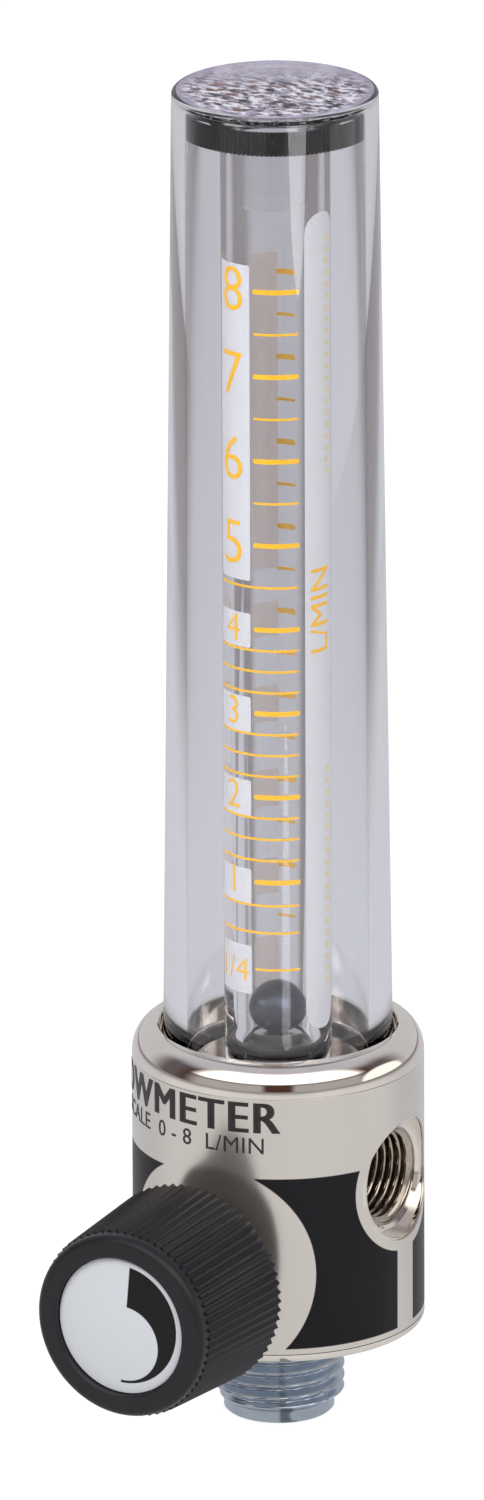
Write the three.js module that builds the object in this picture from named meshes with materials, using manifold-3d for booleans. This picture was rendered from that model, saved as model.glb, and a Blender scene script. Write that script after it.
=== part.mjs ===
// A compact gas flowmeter: a chromed brass valve body under a clear tapered shroud, with a ball float in a
// graduated flow tube, a knurled needle-valve knob in front, a threaded inlet port at one side and a
// threaded outlet below. Units are millimetres. The meter stands along +Z, the knob points along -Y and the
// inlet port along +X. Heights are counted from the outlet's lower end, depths in the valve from the body's
// axis. The group that is exported is moved so that its origin is the middle of the inlet port's face.
import * as THREE from "three";
import { mergeVertices } from "three/addons/utils/BufferGeometryUtils.js";
import Module from "manifold-3d";

const wasm = await Module();
wasm.setup();

// Facets round a full turn.
const FINE = 56;
const MEDIUM = 40;
const ROUND = 32;
const SMALL = 24;
const COARSE = 16;
const O_RING_FACETS = 6;
const FLOAT_BANDS = 14;

// Room between neighbours: a push fit, a sliding fit, a loose fit and how far a cutting tool runs past the
// face that it opens.
const FIT = 0.1;
const SLIDE = 0.06;
const LOOSE = 0.15;
const OVERSHOOT = 1;
const WELD = 1e-5;

// Body.
const BODY_R = 15.875;
const BODY_BOTTOM = 10.7;
const BODY_TOP = 44.4;
const BOTTOM_EDGE_R = 0.65;
const SHOULDER_WIDTH = 2.4;
const SHOULDER_HEIGHT = 3.3;
const LABEL_THICKNESS = 0.2;
const LABEL_GAP = 0.04;
const LABEL_BOTTOM = 11.6;
const LABEL_TOP = 41;
const LABEL_END_GAP = 0.05;
const WINDOW_START = 10;
const VALVE_WINDOW_R = 6.9;
const PASSAGE_R = 2;
const RETURN_HOLE_R = 1.2;
const RETURN_HOLE_OFFSET = 7.8;

// Pocket in the body's top, with a raised boss in the middle for the flow tube.
const POCKET_MOUTH_R = 12.95;
const POCKET_THREAD_R = 12.6;
const POCKET_STEP = 41.6;
const POCKET_FLOOR = 34.4;
const BOSS_R = 9.6;
const BOSS_TOP = 40.6;

// Shroud.
const SHROUD_BOTTOM = 36.2;
const SHROUD_TOP = 150;
const SHROUD_FOOT_R = 12.45;
const SHROUD_HEAD_R = 11.12;
const SHROUD_EDGE_R = 0.5;
const SHROUD_INNER_FOOT_R = 9.85;
const SHROUD_INNER_HEAD_R = 9.3;
const SHROUD_CEILING = 149;

// Flow tube with its tapered bore, the float, and the toothed ring at the tube's head.
const TUBE_R = 5.8;
const TUBE_BOTTOM = BOSS_TOP + 0.2;
const TUBE_TOP = 147;
const TUBE_SOCKET_R = 3.6;
const TUBE_SOCKET_TOP = 43.6;
const BORE_FOOT_R = 3.1;
const BORE_FOOT = 44.6;
const BORE_HEAD_R = 3.5;
const FLOAT_R = 3;
const FLOAT_REST = 47.3;
const STOP_BOTTOM = 138;
const STOP_WIDTH = 4.6;
const STOP_RECESS = 0.2;
const RING_R = 9.15;
const RING_BORE_R = 4.6;
const RING_BOTTOM = 145.5;
const RING_SHELF = TUBE_TOP + 0.2;
const RING_TOP = SHROUD_CEILING - 0.15;
const RING_TEETH = 48;
const RING_TOOTH_DEPTH = 0.45;
const RING_SLOT = 1.6;
const RING_SLOT_ANGLES = [0, 60, 120];

// Seat for the float: shank in the boss, flange, groove for the O-ring and rim on top.
const SEAT_SHANK_R = 2.4;
const SEAT_SHANK_BOTTOM = 35.6;
const SEAT_SHANK_GAP = 0.12;
const SEAT_HOLE_ROOM = 0.3;
const SEAT_FLANGE_R = 3.4;
const SEAT_FLANGE_TOP = 41.9;
const SEAT_GROOVE_R = 2.25;
const SEAT_RIM_R = 2.5;
const SEAT_RIM_BOTTOM = 43.2;
const SEAT_TOP = 44.4;
const SEAT_BORE_R = 1.1;

// Knob and needle valve, on an axis that points along -Y.
const VALVE_AXIS = 20.3;
const KNOB_BACK = 19.2;
const KNOB_FRONT = 34.85;
const KNOB_BACK_R = 11.36;
const KNOB_FRONT_R = 10.55;
const KNOB_RIM_LENGTH = 1.5;
const KNURL_TEETH = 68;
const KNURL_DEPTH = 0.32;
const KNOB_RIM_STEP = 0.02;
const KNOB_EDGE_R = 0.9;
const KNOB_HUB_R = 4;
const KNOB_HOLLOW_R = 8.2;
const KNOB_HOLLOW_DEPTH = 7;
const BONNET_ROOM_R = 7;
const BONNET_ROOM_DEPTH = 1.5;
const INSERT_R = 7.65;
const INSERT_RECESS = 0.55;
const INSERT_THICKNESS = 0.5;
const INSERT_POCKET = 0.6;

// Screw that holds the knob.
const SCREW_SEAT = KNOB_FRONT - 3.1;
const SCREW_HEAD_BOTTOM = SCREW_SEAT + 0.05;
const SCREW_HEAD_EDGE = SCREW_HEAD_BOTTOM + 0.8;
const SCREW_HEAD_TOP = SCREW_HEAD_BOTTOM + 1.4;
const SCREW_LENGTH = 6;
const SCREW_R = 1.1;
const SCREW_HEAD_R = 2.8;
const SCREW_CROWN_R = 2.2;
const SCREW_SLOT_WIDTH = 0.7;
const SCREW_SLOT_DEPTH = 0.6;
const SCREW_POCKET_R = 3.2;
const SCREW_HOLE_R = 1.3;

// Stem: needle, neck with the stop collar, thread, groove for the O-ring and shaft.
const NEEDLE_TIP = 3.6;
const NEEDLE_TIP_R = 0.3;
const NEEDLE_END = 5.6;
const NEEDLE_R = 0.8;
const NECK_START = 5.8;
const NECK_END = 9.9;
const NECK_R = 1.9;
const COLLAR_START = 6.2;
const COLLAR_END = 7.4;
const COLLAR_R = 2.8;
const STEM_THREAD_START = 10.3;
const STEM_THREAD_R = 2.4;
const STEM_GROOVE_START = 13.5;
const STEM_GROOVE_END = 15.2;
const STEM_GROOVE_R = 1.7;
const STEM_LAND_END = 15.8;
const SHAFT_START = 16.1;
const SHAFT_R = 2;
const SHAFT_END_ROOM = 0.3;
const STEM_END = KNOB_FRONT - 4.2;
const STEM_TAP_R = 1.2;
const STEM_TAP_DEPTH = 6;

// Hole for the needle valve, from the outlet passage to the spot face.
const METERING_HOLE_R = 1;
const METERING_HOLE_END = -0.5;
const VALVE_SEAT_FLOOR = 3.2;
const VALVE_SEAT_HOLE_R = 2.5;
const CHAMBER_FLOOR = 5.5;
const CHAMBER_R = 3;
const GASKET_LEDGE = 9.5;
const BONNET_HOLE_R = 5;
const SPOT_FACE = 14.5;
const SPOT_FACE_R = 6.7;

// Valve seat, gasket and bonnet.
const VALVE_SEAT_START = 3.3;
const VALVE_SEAT_CONE = 4.6;
const VALVE_SEAT_END = 5.4;
const VALVE_SEAT_R = 2.4;
const VALVE_SEAT_BORE_R = 0.9;
const VALVE_SEAT_MOUTH_R = 1.3;
const GASKET_START = 9.6;
const GASKET_END = 10.2;
const GASKET_INNER_R = 3.4;
const GASKET_R = 4.8;
const BONNET_START = 10.3;
const BONNET_FLANGE = 14.7;
const BONNET_END = 17.6;
const BONNET_R = 4.9;
const BONNET_FLANGE_R = 6.4;
const BONNET_CHAMFER = 0.4;
const BONNET_BORE_R = 2.5;
const PACKING_START = 13.4;
const PACKING_END = 16.9;
const PACKING_R = 3.3;

// Inlet port, on an axis that points along +X.
const PORT_AXIS = 29;
const PORT_FACE = 14.3;
const PORT_FACE_R = 6.6;
const PORT_THREAD_R = 5.15;
const PORT_THREAD_END = 6.4;
const PORT_BLIND_END = 4.5;
const FILTER_HOLE_R = 4.5;
const FILTER_START = 4.8;
const FILTER_END = 5.65;
const FILTER_R = 4.35;
const CLIP_START = 5.75;
const CLIP_END = 6.2;
const CLIP_INNER_R = 3.2;
const CLIP_R = 4.4;

// Outlet fitting, screwed into the body from below.
const OUTLET_R = 7.145;
const OUTLET_PITCH = 1.411;
const OUTLET_THREAD_DEPTH = 0.85;
const OUTLET_PILOT_R = 6.03;
const OUTLET_PILOT_TOP = 1.5;
const OUTLET_CHAMFER = 0.3;
const OUTLET_THREAD_TOP = BODY_BOTTOM - 0.2;
const OUTLET_COUNTERSINK_R = 5;
const OUTLET_COUNTERSINK = 1;
const OUTLET_MOUTH_R = 4;
const OUTLET_MOUTH_END = 5;
const OUTLET_BORE_START = 6.2;
const OUTLET_SHANK_R = 5.35;
const OUTLET_SHANK_TOP = 14.5;
const OUTLET_HOLE_TOP = 16.2;

// O-rings: radius of the ring's middle line, radius of its section and where the middle line lies.
const STEM_O_RING = { centre: 2.5, section: 0.72, at: 14.35 };
const TUBE_O_RING = { centre: 2.95, section: 0.58, at: 42.55 };
const SHROUD_O_RING = { centre: 11.1, section: 0.8, at: POCKET_FLOOR + 0.9 };
const OUTLET_O_RING = { centre: 4.5, section: 0.75, at: OUTLET_SHANK_TOP + 0.85 };

const FINISHES = {
  chrome: { color: 0xd6d4d2, roughness: 0.08, metalness: 1 },
  nickel: { color: 0xa9abb0, roughness: 0.25, metalness: 1 },
  brass: { color: 0xb8954a, roughness: 0.3, metalness: 1 },
  foil: { color: 0xcdc6bc, roughness: 0.35, metalness: 0.7 },
  steel: { color: 0x50545e, roughness: 0.3, metalness: 1 },
  clear: { color: 0xc8c9d4, roughness: 0.05, metalness: 0, transparent: true, opacity: 0.3 },
  rubber: { color: 0x16161a, roughness: 0.7, metalness: 0 },
  blackPlastic: { color: 0x262327, roughness: 0.4, metalness: 0 },
  whitePlastic: { color: 0xd7dade, roughness: 0.5, metalness: 0 },
  nylon: { color: 0xe4e0d2, roughness: 0.5, metalness: 0 },
  bronze: { color: 0x9c7440, roughness: 0.7, metalness: 1 },
};

// A closed geometry as a manifold-3d solid.
function solid(geometry) {
  const bare = geometry.clone();
  bare.deleteAttribute("normal");
  bare.deleteAttribute("uv");
  const merged = mergeVertices(bare, WELD);
  const index = merged.index.array;
  const corners = [];
  for (let i = 0; i < index.length; i += 3) {
    const [a, b, c] = [index[i], index[i + 1], index[i + 2]];
    if (a !== b && b !== c && a !== c) corners.push(a, b, c);
  }
  return new wasm.Manifold(
    new wasm.Mesh({
      numProp: 3,
      vertProperties: merged.attributes.position.array,
      triVerts: new Uint32Array(corners),
    }),
  );
}

// A solid as a geometry whose faces are flat.
function geometryOf(body) {
  const mesh = body.getMesh();
  const geometry = new THREE.BufferGeometry();
  geometry.setAttribute("position", new THREE.BufferAttribute(mesh.vertProperties, mesh.numProp));
  geometry.setIndex(new THREE.BufferAttribute(mesh.triVerts, 1));
  const flat = geometry.toNonIndexed();
  flat.computeVertexNormals();
  return flat;
}

// A solid of revolution about Z. The outline holds [radius, height] pairs and runs anticlockwise when the
// radius points right and the height up: up the outside and back along the axis or down the bore.
function turned(outline, segments = ROUND) {
  const points = outline.map(([radius, height]) => new THREE.Vector2(radius, height));
  if (outline[0][0] > 0) points.push(points[0].clone());
  return solid(new THREE.LatheGeometry(points, segments).rotateX(Math.PI / 2));
}

// A plain round bar, or hole, along Z.
function bar(radius, from, to, segments = ROUND) {
  return turned([[0, from], [radius, from], [radius, to], [0, to]], segments);
}

// A ring along Z with a rectangular section.
function ring(inner, outer, from, to, segments = ROUND) {
  return turned([[inner, from], [outer, from], [outer, to], [inner, to]], segments);
}

// An O-ring of round section.
function oRing({ centre, section, at }) {
  const geometry = new THREE.TorusGeometry(centre, section, O_RING_FACETS, ROUND);
  return solid(geometry.translate(0, 0, at));
}

// Points of a quarter round, or quarter ellipse, about its centre in an outline. It starts at the angle
// given in degrees and runs anticlockwise.
function corner(centreRadius, centreHeight, width, height, startDegrees, steps = 5) {
  const points = [];
  for (let i = 0; i <= steps; i += 1) {
    const angle = THREE.MathUtils.degToRad(startDegrees + (90 * i) / steps);
    points.push([centreRadius + width * Math.cos(angle), centreHeight + height * Math.sin(angle)]);
  }
  return points;
}

// The zigzag outline of a thread between two heights: whole turns of the pitch, root, crest, root.
function threadOutline(rootRadius, crestRadius, from, to, pitch) {
  const turns = Math.floor((to - from) / pitch);
  const points = [];
  for (let i = 0; i < turns; i += 1) {
    const height = to - (turns - i) * pitch;
    points.push([rootRadius, height]);
    points.push([crestRadius, height + pitch / 2]);
  }
  points.push([rootRadius, to]);
  return points;
}

// A star-shaped bar along Z with pointed teeth, tapered from one radius to the other.
function toothedBar(fromRadius, toRadius, depth, teeth, from, to) {
  const shape = new THREE.Shape();
  for (let i = 0; i < 2 * teeth; i += 1) {
    const angle = (Math.PI * i) / teeth;
    const reach = i % 2 ? fromRadius - depth : fromRadius;
    if (i === 0) shape.moveTo(reach, 0);
    else shape.lineTo(reach * Math.cos(angle), reach * Math.sin(angle));
  }
  const geometry = new THREE.ExtrudeGeometry(shape, { depth: to - from, bevelEnabled: false });
  const corners = geometry.attributes.position;
  for (let i = 0; i < corners.count; i += 1) {
    const scale = corners.getZ(i) > 0 ? toRadius / fromRadius : 1;
    corners.setXY(i, corners.getX(i) * scale, corners.getY(i) * scale);
  }
  return solid(geometry.translate(0, 0, from));
}

// A solid laid along -Y at the valve's height, or along +X at the port's height.
function alongValve(body) {
  return solid(geometryOf(body).rotateX(Math.PI / 2).translate(0, 0, VALVE_AXIS));
}

function alongPort(body) {
  return solid(geometryOf(body).rotateY(Math.PI / 2).translate(0, 0, PORT_AXIS));
}

function cut(body, ...tools) {
  return tools.reduce((left, tool) => left.subtract(tool), body);
}

function part(name, finish, body) {
  const mesh = new THREE.Mesh(geometryOf(body), new THREE.MeshStandardMaterial(FINISHES[finish]));
  mesh.name = name;
  return mesh;
}

// The body's outside, with the recess for the label, the rounded shoulder and the pocket with its boss.
function bodyBlank() {
  const labelSeat = BODY_R - LABEL_THICKNESS - LABEL_GAP;
  return turned(
    [
      [0, BODY_BOTTOM],
      ...corner(BODY_R - BOTTOM_EDGE_R, BODY_BOTTOM + BOTTOM_EDGE_R, BOTTOM_EDGE_R, BOTTOM_EDGE_R, -90, 3),
      [BODY_R, LABEL_BOTTOM],
      [labelSeat, LABEL_BOTTOM],
      [labelSeat, LABEL_TOP],
      [BODY_R, LABEL_TOP],
      ...corner(BODY_R - SHOULDER_WIDTH, BODY_TOP - SHOULDER_HEIGHT, SHOULDER_WIDTH, SHOULDER_HEIGHT, 0, 6),
      [POCKET_MOUTH_R, BODY_TOP],
      [POCKET_MOUTH_R, POCKET_STEP],
      [POCKET_THREAD_R, POCKET_STEP],
      [POCKET_THREAD_R, POCKET_FLOOR],
      [BOSS_R, POCKET_FLOOR],
      [BOSS_R, BOSS_TOP],
      [0, BOSS_TOP],
    ],
    FINE,
  );
}

// The inlet port: spot face, threaded length, blind end for the filter and the hole to the middle.
function portHole() {
  const outline = [
    [0, -OVERSHOOT],
    [PASSAGE_R, -OVERSHOOT],
    [PASSAGE_R, PORT_BLIND_END],
    [FILTER_HOLE_R, PORT_BLIND_END],
    [FILTER_HOLE_R, PORT_THREAD_END],
    [PORT_THREAD_R, PORT_THREAD_END],
    [PORT_THREAD_R, PORT_FACE],
    [PORT_FACE_R, PORT_FACE],
    [PORT_FACE_R, BODY_R + OVERSHOOT],
    [0, BODY_R + OVERSHOOT],
  ];
  return alongPort(turned(outline));
}

// The stepped hole for the needle valve, from the spot face to the outlet passage.
function valveHole() {
  const outline = [
    [0, METERING_HOLE_END],
    [METERING_HOLE_R, METERING_HOLE_END],
    [METERING_HOLE_R, VALVE_SEAT_FLOOR],
    [VALVE_SEAT_HOLE_R, VALVE_SEAT_FLOOR],
    [VALVE_SEAT_HOLE_R, CHAMBER_FLOOR],
    [CHAMBER_R, CHAMBER_FLOOR],
    [CHAMBER_R, GASKET_LEDGE],
    [BONNET_HOLE_R, GASKET_LEDGE],
    [BONNET_HOLE_R, SPOT_FACE],
    [SPOT_FACE_R, SPOT_FACE],
    [SPOT_FACE_R, BODY_R + OVERSHOOT],
    [0, BODY_R + OVERSHOOT],
  ];
  return alongValve(turned(outline));
}

// The body with its passages: up to the float's seat, back down to the valve, and on to the outlet.
function valveBody() {
  const seatHole = turned(
    [
      [0, PORT_AXIS - OVERSHOOT],
      [PASSAGE_R, PORT_AXIS - OVERSHOOT],
      [PASSAGE_R, SEAT_SHANK_BOTTOM - SEAT_HOLE_ROOM],
      [SEAT_SHANK_R, SEAT_SHANK_BOTTOM - SEAT_HOLE_ROOM],
      [SEAT_SHANK_R, BOSS_TOP + OVERSHOOT],
      [0, BOSS_TOP + OVERSHOOT],
    ],
    SMALL,
  );
  const returnBore = bar(RETURN_HOLE_R, VALVE_AXIS, BOSS_TOP + OVERSHOOT, COARSE);
  const returnHole = solid(geometryOf(returnBore).translate(0, -RETURN_HOLE_OFFSET, 0));
  const outletHole = turned([
    [0, BODY_BOTTOM - OVERSHOOT],
    [OUTLET_SHANK_R + LOOSE, BODY_BOTTOM - OVERSHOOT],
    [OUTLET_SHANK_R + LOOSE, OUTLET_HOLE_TOP],
    [PASSAGE_R, OUTLET_HOLE_TOP],
    [PASSAGE_R, VALVE_AXIS + OVERSHOOT],
    [0, VALVE_AXIS + OVERSHOOT],
  ]);
  return cut(bodyBlank(), seatHole, portHole(), valveHole(), returnHole, outletHole);
}

// The printed wrap-around label, a thin sleeve with windows for the valve and the port.
function wrapLabel() {
  const bottom = LABEL_BOTTOM + LABEL_END_GAP;
  const sleeve = ring(BODY_R - LABEL_THICKNESS, BODY_R, bottom, LABEL_TOP - LABEL_END_GAP, FINE);
  const valveWindow = alongValve(bar(VALVE_WINDOW_R, WINDOW_START, BODY_R + OVERSHOOT));
  const portWindow = alongPort(bar(PORT_FACE_R + LOOSE, WINDOW_START, BODY_R + OVERSHOOT));
  return cut(sleeve, valveWindow, portWindow);
}

// The threaded outlet, screwed into the body from below.
function outletFitting() {
  const rootR = OUTLET_R - OUTLET_THREAD_DEPTH;
  return turned([
    [OUTLET_COUNTERSINK_R, 0],
    [OUTLET_PILOT_R - OUTLET_CHAMFER, 0],
    [OUTLET_PILOT_R, OUTLET_CHAMFER],
    [OUTLET_PILOT_R, OUTLET_PILOT_TOP],
    ...threadOutline(rootR, OUTLET_R, OUTLET_PILOT_TOP, OUTLET_THREAD_TOP, OUTLET_PITCH),
    [OUTLET_SHANK_R, OUTLET_THREAD_TOP],
    [OUTLET_SHANK_R, OUTLET_SHANK_TOP],
    [PASSAGE_R, OUTLET_SHANK_TOP],
    [PASSAGE_R, OUTLET_BORE_START],
    [OUTLET_MOUTH_R, OUTLET_MOUTH_END],
    [OUTLET_MOUTH_R, OUTLET_COUNTERSINK],
  ]);
}

// The clear outer shroud: a closed cup turned upside down, tapered inside and out.
function shroud() {
  const edgeX = SHROUD_HEAD_R - SHROUD_EDGE_R;
  const edgeZ = SHROUD_TOP - SHROUD_EDGE_R;
  return turned(
    [
      [SHROUD_INNER_FOOT_R, SHROUD_BOTTOM],
      [SHROUD_FOOT_R, SHROUD_BOTTOM],
      [SHROUD_FOOT_R, BODY_TOP],
      ...corner(edgeX, edgeZ, SHROUD_EDGE_R, SHROUD_EDGE_R, 0, 4),
      [0, SHROUD_TOP],
      [0, SHROUD_CEILING],
      [SHROUD_INNER_HEAD_R, SHROUD_CEILING],
    ],
    FINE,
  );
}

// The graduated flow tube: a socket at its foot fits over the O-ring on the seat.
function flowTube() {
  return turned([
    [TUBE_SOCKET_R, TUBE_BOTTOM],
    [TUBE_R, TUBE_BOTTOM],
    [TUBE_R, TUBE_TOP],
    [BORE_HEAD_R, TUBE_TOP],
    [BORE_HEAD_R, STOP_BOTTOM],
    [BORE_FOOT_R, BORE_FOOT],
    [TUBE_SOCKET_R, TUBE_SOCKET_TOP],
  ]);
}

// The nipple that the float rests on.
function ballSeat() {
  return turned(
    [
      [SEAT_BORE_R, SEAT_SHANK_BOTTOM],
      [SEAT_SHANK_R - SEAT_SHANK_GAP, SEAT_SHANK_BOTTOM],
      [SEAT_SHANK_R - SEAT_SHANK_GAP, BOSS_TOP + FIT],
      [SEAT_FLANGE_R, BOSS_TOP + FIT],
      [SEAT_FLANGE_R, SEAT_FLANGE_TOP],
      [SEAT_GROOVE_R, SEAT_FLANGE_TOP],
      [SEAT_GROOVE_R, SEAT_RIM_BOTTOM],
      [SEAT_RIM_R, SEAT_RIM_BOTTOM],
      [SEAT_RIM_R, SEAT_TOP],
      [SEAT_BORE_R, SEAT_TOP],
    ],
    SMALL,
  );
}

// The float, at rest on its seat.
function floatBall() {
  const ball = new THREE.SphereGeometry(FLOAT_R, SMALL, FLOAT_BANDS);
  return solid(ball.rotateX(Math.PI / 2).translate(0, 0, FLOAT_REST));
}

// The stop at the top of the bore: a plug with two flats that let the gas past.
function floatStop() {
  const plug = bar(BORE_HEAD_R - SLIDE, STOP_BOTTOM + FIT, TUBE_TOP - STOP_RECESS);
  const block = solid(new THREE.BoxGeometry(STOP_WIDTH, 4 * BORE_HEAD_R, 2 * TUBE_TOP));
  return plug.intersect(block);
}

// The toothed ring that centres the tube's head in the shroud. The gas goes out over the tube and down
// between the teeth.
function centringRing() {
  const teeth = toothedBar(RING_R, RING_R, RING_TOOTH_DEPTH, RING_TEETH, RING_BOTTOM, RING_TOP);
  const bore = turned([
    [0, RING_BOTTOM - OVERSHOOT],
    [TUBE_R + FIT, RING_BOTTOM - OVERSHOOT],
    [TUBE_R + FIT, RING_SHELF],
    [RING_BORE_R, RING_SHELF],
    [RING_BORE_R, RING_TOP + OVERSHOOT],
    [0, RING_TOP + OVERSHOOT],
  ]);
  const slots = RING_SLOT_ANGLES.map((degrees) => {
    const slot = new THREE.BoxGeometry(3 * RING_R, RING_SLOT, RING_SLOT).translate(0, 0, RING_TOP);
    return solid(slot.rotateZ(THREE.MathUtils.degToRad(degrees)));
  });
  return cut(teeth, bore, ...slots);
}

// The bonnet that closes the valve chamber and guides the stem.
function bonnet() {
  return turned(
    [
      [BONNET_BORE_R, BONNET_START],
      [BONNET_R, BONNET_START],
      [BONNET_R, BONNET_FLANGE],
      [BONNET_FLANGE_R, BONNET_FLANGE],
      [BONNET_FLANGE_R, BONNET_END - BONNET_CHAMFER],
      [BONNET_FLANGE_R - BONNET_CHAMFER, BONNET_END],
      [BONNET_BORE_R, BONNET_END],
      [BONNET_BORE_R, PACKING_END],
      [PACKING_R, PACKING_END],
      [PACKING_R, PACKING_START],
      [BONNET_BORE_R, PACKING_START],
    ],
    MEDIUM,
  );
}

// The stem: needle, stop collar, thread, O-ring groove and the shaft that carries the knob.
function valveStem() {
  const blank = turned([
    [0, NEEDLE_TIP],
    [NEEDLE_TIP_R, NEEDLE_TIP],
    [NEEDLE_R, NEEDLE_END],
    [NECK_R, NECK_START],
    [NECK_R, COLLAR_START],
    [COLLAR_R, COLLAR_START],
    [COLLAR_R, COLLAR_END],
    [NECK_R, COLLAR_END],
    [NECK_R, NECK_END],
    [STEM_THREAD_R, STEM_THREAD_START],
    [STEM_THREAD_R, STEM_GROOVE_START],
    [STEM_GROOVE_R, STEM_GROOVE_START],
    [STEM_GROOVE_R, STEM_GROOVE_END],
    [STEM_THREAD_R, STEM_GROOVE_END],
    [STEM_THREAD_R, STEM_LAND_END],
    [SHAFT_R, SHAFT_START],
    [SHAFT_R, STEM_END],
    [0, STEM_END],
  ]);
  return cut(blank, bar(STEM_TAP_R, STEM_END - STEM_TAP_DEPTH, STEM_END + OVERSHOOT, COARSE));
}

// The seat that the needle closes, with a conical mouth.
function valveSeat() {
  return turned(
    [
      [VALVE_SEAT_BORE_R, VALVE_SEAT_START],
      [VALVE_SEAT_R, VALVE_SEAT_START],
      [VALVE_SEAT_R, VALVE_SEAT_END],
      [VALVE_SEAT_MOUTH_R, VALVE_SEAT_END],
      [VALVE_SEAT_BORE_R, VALVE_SEAT_CONE],
    ],
    SMALL,
  );
}

// The knob: a tapered knurled barrel with a smooth rim, a recess for the insert, a screw pocket, a shaft
// bore and a hollow back that clears the bonnet.
function knob() {
  const knurlEnd = KNOB_FRONT - KNOB_RIM_LENGTH;
  const barrel = toothedBar(KNOB_BACK_R, KNOB_FRONT_R, KNURL_DEPTH, KNURL_TEETH, KNOB_BACK, knurlEnd);
  const rimR = KNOB_FRONT_R - KNURL_DEPTH - KNOB_RIM_STEP;
  const rim = turned(
    [
      [0, knurlEnd - OVERSHOOT],
      [rimR, knurlEnd - OVERSHOOT],
      ...corner(rimR - KNOB_EDGE_R, KNOB_FRONT - KNOB_EDGE_R, KNOB_EDGE_R, KNOB_EDGE_R, 0, 4),
      [0, KNOB_FRONT],
    ],
    FINE,
  );
  const recessFloor = KNOB_FRONT - INSERT_RECESS - INSERT_POCKET;
  const open = KNOB_BACK - OVERSHOOT;
  const faceRecess = bar(INSERT_R + FIT, recessFloor, KNOB_FRONT + OVERSHOOT, FINE);
  const screwPocket = bar(SCREW_POCKET_R, SCREW_SEAT, KNOB_FRONT, SMALL);
  const screwHole = bar(SCREW_HOLE_R, STEM_END, KNOB_FRONT, COARSE);
  const shaftBore = bar(SHAFT_R + SLIDE, open, STEM_END + SHAFT_END_ROOM);
  const hollowBack = ring(KNOB_HUB_R, KNOB_HOLLOW_R, open, KNOB_BACK + KNOB_HOLLOW_DEPTH);
  const bonnetRoom = bar(BONNET_ROOM_R, open, KNOB_BACK + BONNET_ROOM_DEPTH);
  return cut(barrel.add(rim), faceRecess, screwPocket, screwHole, shaftBore, hollowBack, bonnetRoom);
}

// The flat disc in the knob's face.
function knobInsert() {
  const face = KNOB_FRONT - INSERT_RECESS;
  return bar(INSERT_R, face - INSERT_THICKNESS, face, FINE);
}

// The pan-head screw that holds the knob on the stem, with a slot.
function knobScrew() {
  const end = SCREW_HEAD_BOTTOM - SCREW_LENGTH;
  const blank = turned(
    [
      [0, end],
      [SCREW_R, end],
      [SCREW_R, SCREW_HEAD_BOTTOM],
      [SCREW_HEAD_R, SCREW_HEAD_BOTTOM],
      [SCREW_HEAD_R, SCREW_HEAD_EDGE],
      [SCREW_CROWN_R, SCREW_HEAD_TOP],
      [0, SCREW_HEAD_TOP],
    ],
    SMALL,
  );
  const slot = new THREE.BoxGeometry(4 * SCREW_HEAD_R, SCREW_SLOT_WIDTH, 2 * SCREW_SLOT_DEPTH);
  return cut(blank, solid(slot.translate(0, 0, SCREW_HEAD_TOP)));
}

// A group whose +Z is turned to point along the valve's or the port's axis.
function valveGroup() {
  const group = new THREE.Group();
  group.rotation.x = Math.PI / 2;
  group.position.z = VALVE_AXIS;
  return group;
}

function portGroup() {
  const group = new THREE.Group();
  group.rotation.y = Math.PI / 2;
  group.position.z = PORT_AXIS;
  return group;
}

const controls = valveGroup();
controls.add(
  part("bonnet", "brass", bonnet()),
  part("bonnet_gasket", "nylon", ring(GASKET_INNER_R, GASKET_R, GASKET_START, GASKET_END)),
  part("valve_stem", "nickel", valveStem()),
  part("stem_o_ring", "rubber", oRing(STEM_O_RING)),
  part("valve_seat", "nylon", valveSeat()),
  part("knob", "blackPlastic", knob()),
  part("knob_insert", "whitePlastic", knobInsert()),
  part("knob_screw", "nickel", knobScrew()),
);

const inlet = portGroup();
inlet.add(
  part("inlet_filter", "bronze", bar(FILTER_R, FILTER_START, FILTER_END, SMALL)),
  part("filter_clip", "steel", ring(CLIP_INNER_R, CLIP_R, CLIP_START, CLIP_END, SMALL)),
);

const meter = new THREE.Group();
meter.name = "flowmeter";
meter.add(
  part("valve_body", "chrome", valveBody()),
  part("wrap_label", "foil", wrapLabel()),
  part("outlet_fitting", "chrome", outletFitting()),
  part("outlet_o_ring", "rubber", oRing(OUTLET_O_RING)),
  part("shroud", "clear", shroud()),
  part("shroud_o_ring", "rubber", oRing(SHROUD_O_RING)),
  part("flow_tube", "clear", flowTube()),
  part("tube_o_ring", "rubber", oRing(TUBE_O_RING)),
  part("ball_seat", "nickel", ballSeat()),
  part("float_ball", "steel", floatBall()),
  part("float_stop", "clear", floatStop()),
  part("centring_ring", "rubber", centringRing()),
  controls,
  inlet,
);
meter.position.set(-PORT_FACE, 0, -PORT_AXIS);

const root = new THREE.Group();
root.add(meter);

export default root;
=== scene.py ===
# %% [markdown]
# # A gas flowmeter, piece by piece
# This lesson builds the looks of a small clear-tube flowmeter round its engineering model. The model
# comes in first as a fixed frame, and each piece is then made or finished where the frame says it is.

import math

import bmesh
import bpy
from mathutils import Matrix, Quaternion, Vector


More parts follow.
